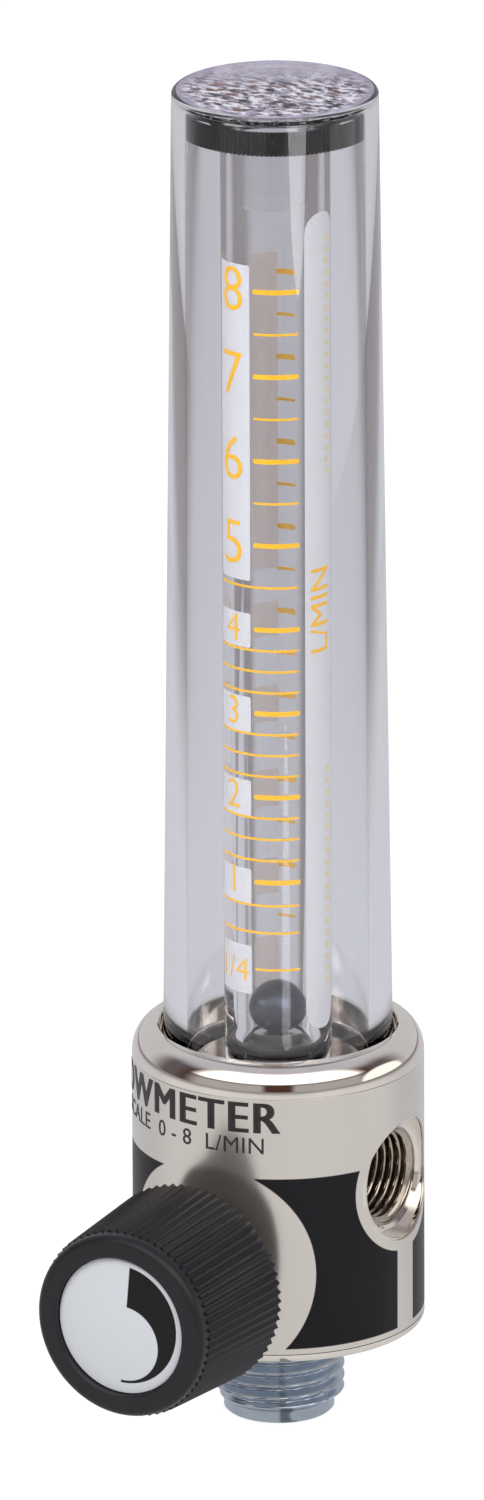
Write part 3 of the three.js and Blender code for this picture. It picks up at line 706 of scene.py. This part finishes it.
RING_CENTRE, RING_SECTION, RING_HEIGHT = 2.95, 0.7, 42.55
squeezed_ring = ring_outline(RING_CENTRE, RING_SECTION, RING_HEIGHT)
turned("tube_ring", squeezed_ring, black_rubber, "meter", "black_rubber", ("tube_o_ring",))
seat_outline = [
    (1.1, 35.6),
    (2.28, 35.6),
    (2.28, 40.7),
    (3.4, 40.7),
    (3.4, 41.75),
    (2.2, 41.75),
    (2.2, 43.2),
    (2.42, 43.2),
    (2.5, 43.28),
    (2.5, 44.3),
    (2.4, 44.4),
    (1.25, 44.4),
    (1.1, 44.25),
]
turned("float_seat", seat_outline, nickel, "meter", "nickel", ("ball_seat",))
BALL_R, BALL_REST, BALL_STEPS = 3, 47.3, 48
half_turn = [math.pi * i / BALL_STEPS for i in range(1, BALL_STEPS)]
ball_outline = [(BALL_R * math.sin(a), BALL_REST - BALL_R * math.cos(a)) for a in half_turn]
ball_outline = [(0, BALL_REST - BALL_R), *ball_outline, (0, BALL_REST + BALL_R)]
turned("float", ball_outline, ball_steel, "float", "dark_steel", ("float_ball",), segments=96)

# %% [markdown]
# What repeats is made by Geometry Nodes. One small tree takes a single rib and sets copies of it round
# an axis: with few numbers it makes the teeth of the ring at the tube's head, and again the flutes
# of the knob.

# %% A tree that repeats a rib round an axis
def ribs_tree():
    tree = bpy.data.node_groups.new("ribs_round_axis", "GeometryNodeTree")
    face = tree.interface
    face.new_socket("Rib", in_out="INPUT", socket_type="NodeSocketGeometry")
    face.new_socket("Count", in_out="INPUT", socket_type="NodeSocketInt")
    face.new_socket("Finish", in_out="INPUT", socket_type="NodeSocketMaterial")
    face.new_socket("Ribs", in_out="OUTPUT", socket_type="NodeSocketGeometry")
    made = {
        name: tree.nodes.new(kind)
        for name, kind in {
            "given": "NodeGroupInput",
            "points": "GeometryNodePoints",
            "index": "GeometryNodeInputIndex",
            "share": "ShaderNodeMath",
            "angle": "ShaderNodeMath",
            "turn": "ShaderNodeCombineXYZ",
            "copies": "GeometryNodeInstanceOnPoints",
            "real": "GeometryNodeRealizeInstances",
            "finish": "GeometryNodeSetMaterial",
            "result": "NodeGroupOutput",
        }.items()
    }
    made["share"].operation = "DIVIDE"
    made["angle"].operation = "MULTIPLY"
    made["angle"].inputs[1].default_value = 2 * math.pi
    join = tree.links.new
    join(made["given"].outputs["Count"], made["points"].inputs["Count"])
    join(made["index"].outputs[0], made["share"].inputs[0])
    join(made["given"].outputs["Count"], made["share"].inputs[1])
    join(made["share"].outputs[0], made["angle"].inputs[0])
    join(made["angle"].outputs[0], made["turn"].inputs["Z"])
    join(made["points"].outputs[0], made["copies"].inputs["Points"])
    join(made["given"].outputs["Rib"], made["copies"].inputs["Instance"])
    join(made["turn"].outputs[0], made["copies"].inputs["Rotation"])
    join(made["copies"].outputs[0], made["real"].inputs[0])
    join(made["real"].outputs[0], made["finish"].inputs["Geometry"])
    join(made["given"].outputs["Finish"], made["finish"].inputs["Material"])
    join(made["finish"].outputs[0], made["result"].inputs[0])
    return tree


def ribs(name, corners, faces, count, material, where):
    """Copies of one rib, drawn in millimetres beside the Z axis, as one plain mesh in its place."""
    mesh = bpy.data.meshes.new(name)
    mesh.from_pydata(corners, [], faces)
    piece = as_object(name, mesh)
    repeat = piece.modifiers.new("ribs", "NODES")
    repeat.node_group = RIBS_TREE
    sockets = {s.name: s.identifier for s in repeat.node_group.interface.items_tree if s.in_out == "INPUT"}
    repeat[sockets["Count"]] = count
    repeat[sockets["Finish"]] = material
    made = bpy.data.meshes.new_from_object(piece.evaluated_get(bpy.context.evaluated_depsgraph_get()))
    piece.modifiers.clear()
    for corner in made.vertices:
        corner.co = where(*corner.co)
    piece.data = made
    return piece


def wedge(inner, low_radius, high_radius, half, low, high):
    """One rib with a pointed back: two feet on the inner radius and a ridge that may lean."""
    drop = low_radius - high_radius
    corners = [
        (inner, -half, low),
        (low_radius, 0, low),
        (inner, half, low),
        (inner - drop, -half, high),
        (high_radius, 0, high),
        (inner - drop, half, high),
    ]
    faces = [(0, 2, 1), (3, 4, 5), (0, 1, 4, 3), (1, 2, 5, 4), (2, 0, 3, 5)]
    return corners, faces


RIBS_TREE = ribs_tree()
print("the rib tree has", len(RIBS_TREE.nodes), "nodes")

# %% [markdown]
# The ring at the tube's head keeps the tube in the middle of the shroud, and lets the gas over the top and
# down between its teeth. It is clear too, but its toothed edge is rough and reads as a dark band. Here that
# band is painted shade: a thin near-black sleeve with teeth, set round the clear ring.

# %% Toothed ring at the head
HEAD_TEETH, HEAD_RING_R, HEAD_RING_BORE_R, HEAD_SHELF_R = 120, 8.9, 5.9, 4.6
HEAD_BOTTOM, HEAD_SHELF, HEAD_TOP = 145.6, 147.2, 148.8
BAND_INNER_R, BAND_R, BAND_BOTTOM, BAND_TOP = 8.93, 9.0, 145.55, 148.05
head_outline = [
    (HEAD_RING_BORE_R, HEAD_BOTTOM),
    (HEAD_RING_R, HEAD_BOTTOM),
    (HEAD_RING_R, HEAD_TOP),
    (HEAD_SHELF_R, HEAD_TOP),
    (HEAD_SHELF_R, HEAD_SHELF),
    (HEAD_RING_BORE_R, HEAD_SHELF),
]
turned("head_ring", head_outline, clear_tube, "meter", "clear_tube", ("centring_ring",), segments=180)
band_outline = [(BAND_INNER_R, BAND_BOTTOM), (BAND_R, BAND_BOTTOM), (BAND_R, BAND_TOP)]
band_outline.append((BAND_INNER_R, BAND_TOP))
# The dark band and its teeth are painted shade round the clear ring.
turned("head_band", band_outline, dark_band_painted_shade, "meter", "grey_rubber", segments=180)
head_rib = wedge(BAND_R - 0.03, 9.2, 9.2, 0.2, BAND_BOTTOM - 0.1, BAND_TOP + 0.1)
head_teeth = ribs("head_teeth", *head_rib, HEAD_TEETH, dark_band_painted_shade, upright)
finish_piece(head_teeth, dark_band_painted_shade, "meter", "grey_rubber")

# %% [markdown]
# The knob's barrel widens towards the body, with fine pointed flutes for a grip and a smooth rounded
# rim in front. A shallow recess in the rim holds the white insert.

# %% Knob
KNOB_FRONT, KNOB_BACK = 34.85, 19.2
FLUTES = 68
HUB_BORE_R, HUB_R, HOLLOW_R, HOLLOW_END = 2.06, 4, 8.2, 26.6
RIM_R, RIM_EDGE, RECESS_R, RECESS_DEPTH = 10.25, 0.9, 7.75, 1.15
SCREW_POCKET_R, SCREW_POCKET_DEPTH = 3.2, 3.1
knob_outline = [
    (HUB_BORE_R, KNOB_BACK),
    (HUB_R, KNOB_BACK),
    (HUB_R, HOLLOW_END),
    (HOLLOW_R, HOLLOW_END),
    (HOLLOW_R, KNOB_BACK),
    (10.75, KNOB_BACK),
    (11.05, KNOB_BACK + 0.25),
    (10.2, 33.2),
    (10.28, 33.3),
    *rounded(RIM_R - RIM_EDGE, KNOB_FRONT - RIM_EDGE, RIM_EDGE, RIM_EDGE, 0, 10),
    (RECESS_R + 0.2, KNOB_FRONT),
    (RECESS_R, KNOB_FRONT - 0.15),
    (RECESS_R, KNOB_FRONT - RECESS_DEPTH),
    (SCREW_POCKET_R, KNOB_FRONT - RECESS_DEPTH),
    (SCREW_POCKET_R, KNOB_FRONT - SCREW_POCKET_DEPTH),
    (HUB_BORE_R, KNOB_FRONT - SCREW_POCKET_DEPTH),
]
turned(
    "knob_barrel", knob_outline, knob_black, "knob_and_stem", "knob_black", ("knob",),
    where=along_valve, segments=136,
)
knob_rib = wedge(10.94, 11.36, 10.55, 0.44, KNOB_BACK + 0.12, KNOB_FRONT - 1.55)
knob_flutes = ribs("knob_flutes", *knob_rib, FLUTES, knob_black, along_valve)
finish_piece(knob_flutes, knob_black, "knob_and_stem", "knob_black")

# %% [markdown]
# The insert is a white disc with a black wedge that grows clockwise: the sign for more or less flow.
# The wedge is the space between two circles that aren't concentric, cut off by an upright line.

# %% Knob's insert
def insert_finish():
    finish = Finish("insert_white")
    x, _, z = finish.place()
    up = z - VALVE_AXIS
    outer = ((x - 0.1).squared() + (up - 0.2).squared()).root()
    inner = ((x - 0.3).squared() + (up + 2.0).squared()).root()
    upright_edge = (x - (up - 2.4) * 0.087).step(0.68, 0.1)
    wedge_mask = (1 - outer.step(6.7, 0.1)) * inner.step(4.2, 0.1) * upright_edge
    speckle = finish.grain(5200, 2.0)
    white = finish.blend(speckle, rgb(199, 202, 207), rgb(178, 182, 188))
    black = finish.blend(speckle, rgb(11, 11, 12), rgb(20, 19, 19))
    return finish.surface(
        Base_Color=finish.blend(wedge_mask, white, black),
        Roughness=0.34 + speckle * 0.2,
        Specular_IOR_Level=0.25,
        Normal=finish.bump(speckle, 0.00001),
    )


insert_white = insert_finish()
INSERT_R, INSERT_BACK, INSERT_FACE, INSERT_EDGE = 7.68, 33.8, 34.2, 0.1
insert_outline = [
    (0, INSERT_BACK),
    (INSERT_R, INSERT_BACK),
    (INSERT_R, INSERT_FACE - INSERT_EDGE),
    *rounded(INSERT_R - INSERT_EDGE, INSERT_FACE - INSERT_EDGE, INSERT_EDGE, INSERT_EDGE, 0, 3),
    (0, INSERT_FACE),
]
turned(
    "insert_disc", insert_outline, insert_white, "knob_and_stem", "insert_white", ("knob_insert",),
    where=along_valve,
)

# %% [markdown]
# Behind the knob, a brass bonnet closes the valve. Its collar shows in the gap when the knob is seen
# from the side.

# %% Bonnet
BONNET_BORE_R, BONNET_R, FLANGE_R, GLAND_R = 2.5, 4.9, 6.4, 3.3
BONNET_BACK, FLANGE_BACK, BONNET_FRONT, GLAND_BACK, GLAND_FRONT = 10.3, 14.7, 17.6, 13.4, 16.9
bonnet_outline = [
    (BONNET_BORE_R, BONNET_BACK),
    (BONNET_R, BONNET_BACK),
    (BONNET_R, FLANGE_BACK),
    (FLANGE_R - 0.2, FLANGE_BACK),
    (FLANGE_R, FLANGE_BACK + 0.2),
    (FLANGE_R, BONNET_FRONT - 0.4),
    (FLANGE_R - 0.3, BONNET_FRONT),
    (BONNET_BORE_R + 0.1, BONNET_FRONT),
    (BONNET_BORE_R, BONNET_FRONT - 0.1),
    (BONNET_BORE_R, GLAND_FRONT),
    (GLAND_R, GLAND_FRONT),
    (GLAND_R, GLAND_BACK),
    (BONNET_BORE_R, GLAND_BACK),
]
turned(
    "bonnet_turned", bonnet_outline, brass, "meter", "brass", ("bonnet",), where=along_valve, segments=96
)

# %% [markdown]
# Printing on a round tube starts flat. A flat shape is cut into narrow upright slices, so that it can
# bend, and then wrapped round the radius. Strips and lines are drawn by their lower and upper edge.

# %% Wrapping flat print round a tube
SLICE = 0.3
INK_THICKNESS = 0.03


def wrapped(mesh, radius, turn, height):
    """Bends a flat mesh, drawn in millimetres with its back at z 0, round the upright axis."""
    shape = bmesh.new()
    shape.from_mesh(mesh)
    left = min(v.co.x for v in shape.verts)
    right = max(v.co.x for v in shape.verts)
    for i in range(1, int((right - left) / SLICE) + 1):
        everything = shape.verts[:] + shape.edges[:] + shape.faces[:]
        cut = (left + i * SLICE, 0, 0)
        bmesh.ops.bisect_plane(shape, geom=everything, plane_co=cut, plane_no=(1, 0, 0), dist=1e-5)
    bmesh.ops.triangulate(shape, faces=shape.faces[:])
    for v in shape.verts:
        angle = math.radians(turn) + v.co.x / radius
        reach = radius + v.co.z
        v.co = bench(reach * math.sin(angle), -reach * math.cos(angle), height + v.co.y)
    bmesh.ops.recalc_face_normals(shape, faces=shape.faces[:])
    shape.to_mesh(mesh)
    shape.free()
    return mesh


def flat_strip(name, width, height, corner=0.0):
    """A flat strip of ink, centred, with round ends where corner is given."""
    steps = 24
    columns = []
    for i in range(steps + 1):
        x = -width / 2 + width * i / steps
        inset = max(0.0, corner - (width / 2 - abs(x)))
        drop = corner - math.sqrt(max(0.0, corner * corner - inset * inset)) if corner else 0
        columns.append((x, height / 2 - drop))
    outline = [(x, -y, 0) for x, y in columns] + [(x, y, 0) for x, y in reversed(columns)]
    return inked(name, outline)


def inked(name, outline):
    """A flat outline given the thickness of a layer of ink."""
    shape = bmesh.new()
    face = shape.faces.new([shape.verts.new(p) for p in outline])
    raised = bmesh.ops.extrude_face_region(shape, geom=[face])
    for v in raised["geom"]:
        if isinstance(v, bmesh.types.BMVert):
            v.co.z += INK_THICKNESS
    bmesh.ops.remove_doubles(shape, verts=shape.verts[:], dist=1e-5)
    mesh = bpy.data.meshes.new(name)
    shape.to_mesh(mesh)
    shape.free()
    return mesh


def flat_words(name, words, size, upward=False, spacing=1.0, thinner=0.0):
    """Words as a flat mesh centred on the origin, reading upwards if asked."""
    text = bpy.data.curves.new(name, "FONT")
    text.body, text.size = words, size
    text.extrude, text.space_character = INK_THICKNESS / 2, spacing
    text.resolution_u = 4
    text.offset = -thinner * size
    text.align_x, text.align_y = "CENTER", "CENTER"
    helper = as_object(name, text)
    bpy.context.view_layer.update()
    mesh = bpy.data.meshes.new_from_object(helper.evaluated_get(bpy.context.evaluated_depsgraph_get()))
    bpy.data.objects.remove(helper)
    shape = bmesh.new()
    shape.from_mesh(mesh)
    bmesh.ops.remove_doubles(shape, verts=shape.verts[:], dist=1e-5)
    xs = [v.co.x for v in shape.verts]
    ys = [v.co.y for v in shape.verts]
    middle = Vector(((min(xs) + max(xs)) / 2, (min(ys) + max(ys)) / 2, -INK_THICKNESS / 2))
    for v in shape.verts:
        v.co -= middle
        if upward:
            v.co.x, v.co.y = -v.co.y, v.co.x
    shape.to_mesh(mesh)
    shape.free()
    return mesh


def inscribed(name, meshes, material, slot):
    """Several wrapped meshes joined into one printed piece on the meter."""
    joined = bmesh.new()
    for mesh in meshes:
        joined.from_mesh(mesh)
    mesh = bpy.data.meshes.new(name)
    joined.to_mesh(mesh)
    joined.free()
    return finish_piece(as_object(name, mesh), material, "meter", slot)


print("ink is", INK_THICKNESS, "mm thick")

# %% [markdown]
# The scale's lines follow the tube's taper: nearly even from one litre up, and crowded below it. One
# sum gives every height, so whole litres, halves and quarters all come from the same rule.

# %% Scale lines
ON_TUBE = TUBE_R + 0.01
ZERO_HEIGHT, LITRE, LOW_CROWDING, LOW_FADE = 53.3, 9.52, 7.7, 0.27
LINE_LEFT, LONG_LINE_LEFT, LINE_RIGHT = 5.5, -45.0, 53.9
WHOLE_LINE, PART_LINE = 0.55, 0.26
MARK_TURN, MARK_WIDTH, WHOLE_MARK, HALF_MARK = 193.0, 3.3, 0.6, 0.34


def scale_height(litres):
    return ZERO_HEIGHT + LITRE * litres - LOW_CROWDING * math.exp(-litres / LOW_FADE)


lines = []
readings = [i / 4 for i in range(1, 16)] + [4 + i / 2 for i in range(9)]
for litres in readings:
    whole = litres == int(litres)
    short = whole or litres > 5 or litres == 0.25
    left = LINE_LEFT if short else LONG_LINE_LEFT
    reach = math.radians(LINE_RIGHT - left) * TUBE_R
    line = flat_strip("scale_line", reach, WHOLE_LINE if whole else PART_LINE, 0.12)
    lines.append(wrapped(line, ON_TUBE, (left + LINE_RIGHT) / 2, scale_height(litres)))
for litres in [i / 2 for i in range(1, 17)]:
    mark = flat_strip("back_mark", MARK_WIDTH, WHOLE_MARK if litres == int(litres) else HALF_MARK, 0.1)
    lines.append(wrapped(mark, ON_TUBE, MARK_TURN, scale_height(litres)))
inscribed("scale_lines", lines, yellow_ink, "clear_tube")

# %% [markdown]
# White strips left and right of the scale carry the numerals and the unit. The left one is solid
# beside the upper numbers and breaks into separate patches lower down.

# %% White strips
LEFT_MIDDLE, LEFT_HALF = -21.0, 23.0
left_width = 2 * math.radians(LEFT_HALF) * TUBE_R
patches = [(96.8, 132.3), (89.2, 93.1), (79.5, 83.6), (69.9, 74.1), (60.0, 64.0), (49.7, 55.2)]
strips = []
for low, high in patches:
    patch = flat_strip("patch", left_width, high - low, 0.15)
    strips.append(wrapped(patch, TUBE_R, LEFT_MIDDLE, (low + high) / 2))
RIGHT_MIDDLE, RIGHT_HALF, RIGHT_BOTTOM, RIGHT_TOP, RIGHT_CORNER = 83.5, 23.5, 45.3, 137.9, 2.2
right_width = 2 * math.radians(RIGHT_HALF) * TUBE_R
right_strip = flat_strip("right_strip", right_width, RIGHT_TOP - RIGHT_BOTTOM, RIGHT_CORNER)
strips.append(wrapped(right_strip, TUBE_R, RIGHT_MIDDLE, (RIGHT_TOP + RIGHT_BOTTOM) / 2))
inscribed("white_strips", strips, white_ink, "clear_tube")

# %% [markdown]
# Each patch has a tan one behind it, on the far side of the tube, which gives the eye a ground to see the
# ball against. It lets more than half of the light through, so it is a plain surface with a low alpha.

# %% Tan film
film_finish = Finish("tan_film")
film_cloud = film_finish.grain(300)
tan_film = film_finish.surface(
    Base_Color=film_finish.blend(film_cloud, rgb(206, 184, 160), rgb(190, 168, 146)),
    Roughness=0.5 + film_cloud * 0.1,
    Alpha=0.3,
)
FILM_TURN, FILM_WIDTH, FILM_DROP = 231.5, 5.0, 0.65
films = []
for low, high in patches:
    film = flat_strip("film", FILM_WIDTH, high - low, 0.3)
    films.append(wrapped(film, ON_TUBE, FILM_TURN, (low + high) / 2 - FILM_DROP))
inscribed("tan_film", films, tan_film, "clear_tube")

# %% [markdown]
# The numerals are yellow, and stand in the middle of their patches. Only numbers and the unit are
# printed in full, so the meter reads like any other of its kind. Small print is a row of pale dashes.

# %% Numerals, unit and fine print
ON_PATCH = TUBE_R + INK_THICKNESS + 0.01
LARGE, SMALL, FRACTION, UNIT_SIZE = 7.3, 4.6, 3.9, 3.9
THINNER = 0.012
numerals = []
for litres in [8, 7, 6, 5, 4, 3, 2, 1]:
    numeral = flat_words("numeral", str(litres), LARGE if litres > 4 else SMALL, thinner=THINNER)
    numerals.append(wrapped(numeral, ON_PATCH, LEFT_MIDDLE, scale_height(litres)))
fraction = flat_words("numeral", "1/4", FRACTION, thinner=THINNER)
numerals.append(wrapped(fraction, ON_PATCH, LEFT_MIDDLE, 52.4))
unit = flat_words("unit", "L/MIN", UNIT_SIZE, upward=True)
numerals.append(wrapped(unit, ON_PATCH, 80.0, 93.1))
inscribed("numerals", numerals, yellow_ink, "clear_tube")

DASH_TURN, DASH_WIDTH, DASH_HEIGHT, DASH_PITCH = 92.5, 0.9, 0.6, 1.3
fine_print = []
for low, high in [(107.9, 135.5), (49.9, 75.4)]:
    dashes = int((high - low) / DASH_PITCH)
    for i in range(dashes):
        dash = flat_strip("dash", DASH_WIDTH, DASH_HEIGHT, 0.1)
        fine_print.append(wrapped(dash, ON_PATCH, DASH_TURN, low + (i + 0.5) * (high - low) / dashes))
inscribed("fine_print", fine_print, pale_ink, "clear_tube")

# %% [markdown]
# The body's label carries one bold line and one fine line of plain words round its upper edge.

# %% Words on the label
BOLD_SIZE, BOLD_TURN, BOLD_HEIGHT, BOLD_SHIFT = 5.0, -26.1, 38.85, 0.62
FINE_SIZE, FINE_TURN, FINE_HEIGHT = 2.6, -17.0, 35.65
label_words = [
    wrapped(flat_words("words", "FLOWMETER", BOLD_SIZE, spacing=1.12), BODY_R, BOLD_TURN + shift, BOLD_HEIGHT)
    for shift in (-BOLD_SHIFT, 0.0, BOLD_SHIFT)
]
fine_line = flat_words("words", "SCALE  0 - 8  L/MIN", FINE_SIZE, spacing=1.05)
label_words.append(wrapped(fine_line, BODY_R, FINE_TURN, FINE_HEIGHT))
inscribed("label_words", label_words, black_ink, "label_foil")

# %% [markdown]
# The pieces inside the body keep their engineering shapes. They only need a finish in keeping with
# what they are made of.

# %% Finishes for the inner pieces
inner_finishes = {
    "outlet_o_ring": black_rubber,
    "shroud_o_ring": black_rubber,
    "stem_o_ring": black_rubber,
    "bonnet_gasket": white_nylon,
    "valve_seat": white_nylon,
    "valve_stem": nickel,
    "knob_screw": nickel,
    "inlet_filter": bronze,
    "filter_clip": clip_steel,
    "float_stop": clear_stop,
}
for name, material in inner_finishes.items():
    nodes[name].data.materials.clear()
    nodes[name].data.materials.append(material)
print("finished", len(inner_finishes), "inner pieces")

# %% [markdown]
# Chrome shows the room, so the room is what gets designed here: bright in front, above and behind, dark
# to both sides, and brown low in front. The floor looks white, but what it sends into the chrome and the
# clear pieces is set apart: paler in front, bluish behind, with a thin dark stripe for the outlet.

# %% Room and floor
def room():
    world = bpy.data.worlds.new("room")
    bpy.context.scene.world = world
    world.use_nodes = True
    light = Finish("room", world.node_tree)
    where = light.node("ShaderNodeTexCoord", output="Generated")

    def facing(direction):
        return light.node("ShaderNodeVectorMath", {"operation": "DOT_PRODUCT"}, {0: where, 1: direction}, 1)

    front = facing(Vector((math.sin(VIEW_AZIMUTH), -math.cos(VIEW_AZIMUTH), 0)))
    side = facing(Vector((math.cos(VIEW_AZIMUTH), math.sin(VIEW_AZIMUTH), 0)))
    up = facing(Vector((0, 0, 1)))
    dark = light.blend(front.step(0.1, 0.3), (0.13, 0.115, 0.125, 1), (0.08, 0.04, 0.028, 1))
    ceiling = light.blend(up.step(0.68, 0.3), dark, (0.56, 0.55, 0.62, 1))
    back_wall = (front * -1.0).step(0.35, 0.4)
    behind = light.blend(back_wall * up.step(-0.05, 0.1), ceiling, (0.62, 0.62, 0.65, 1))
    low_front = front.step(0.3, 0.3) * up.between(-0.1, 0.32, 0.08) * side.absolute().step(0.2, 0.1)
    lit = light.blend(low_front, behind, (0.45, 0.43, 0.43, 1))
    window = front.step(0.3, 0.25) * up.between(0.38, 0.86, 0.1)
    lit = light.blend(window, lit, (2.1, 2.05, 2.0, 1))
    strip = side.absolute().step(0.93, 0.03) * up.between(-0.05, 0.75, 0.1) * side.step(0.0, 0.1)
    lit = light.blend(strip, lit, (1.3, 1.28, 1.26, 1))
    seen = light.node("ShaderNodeLightPath", output="Is Camera Ray")
    shown = light.blend(seen, lit, (1.0, 1.0, 1.0, 1))
    background = light.node("ShaderNodeBackground", {}, {"Color": shown, "Strength": 1.0})
    light.node("ShaderNodeOutputWorld", {}, {"Surface": background})


def softbox(name, place, size, power):
    lamp = bpy.data.objects.new(name, bpy.data.lights.new(name, "AREA"))
    lamp.data.shape, lamp.data.size, lamp.data.energy = "DISK", size, power
    lamp.location = Vector(place)
    lamp.visible_glossy = False
    aim_at = bench(0, 0, 60) - lamp.location
    lamp.rotation_euler = aim_at.to_track_quat("-Z", "Y").to_euler()
    bpy.context.scene.collection.objects.link(lamp)


room()
softbox("key", (-0.55, -1.05, 1.0), 0.8, 10.5)
softbox("fill", (1.15, -0.75, 0.6), 0.7, 6.5)
FLOOR_REACH, FLOOR_SIDES, FLOOR_Z = 4.0, 64, BASE_Z - 0.0002
floor_mesh = bpy.data.meshes.new("floor")
floor_turn = [math.tau * i / FLOOR_SIDES for i in range(FLOOR_SIDES)]
floor_edge = [(FLOOR_REACH * math.cos(a), FLOOR_REACH * math.sin(a), FLOOR_Z) for a in floor_turn]
floor_mesh.from_pydata(floor_edge, [], [list(range(FLOOR_SIDES))])
floor = as_object("floor", floor_mesh)
floor_finish = Finish("floor")
dust = floor_finish.grain(8, 2.0)
x, y, _ = floor_finish.place()
away = y * math.cos(VIEW_AZIMUTH) - x * math.sin(VIEW_AZIMUTH)
aside = x * math.cos(VIEW_AZIMUTH) + y * math.sin(VIEW_AZIMUTH)
FRONT_GLOW, BACK_GLOW = (0.52, 0.52, 0.53, 1), (0.405, 0.41, 0.445, 1)
FAR_GLOW, STRIPE_GLOW, SEEN_GLOW = (0.09, 0.07, 0.068, 1), (0.1, 0.1, 0.11, 1), (0.9, 0.9, 0.9, 1)
near = (1 - aside.absolute().step(360, 380)) * away.between(-330, 1500, 300)
lit_floor = floor_finish.blend(away.step(10, 60), FRONT_GLOW, BACK_GLOW)
glow = floor_finish.blend(near, FAR_GLOW, lit_floor)
stripe = aside.between(0.1, 2.0, 0.5) * away.between(-31, -5, 3)
glow = floor_finish.blend(stripe, glow, STRIPE_GLOW)
seen = floor_finish.node("ShaderNodeLightPath", output="Is Camera Ray")
floor_mesh.materials.append(
    floor_finish.surface(
        Base_Color=floor_finish.blend(dust, (0.2, 0.2, 0.2, 1), (0.18, 0.18, 0.18, 1)),
        Roughness=0.9,
        Specular_IOR_Level=0.0,
        Emission_Color=floor_finish.blend(seen, glow, SEEN_GLOW),
        Emission_Strength=1.0,
    )
)
print("room, two soft boxes and a floor")
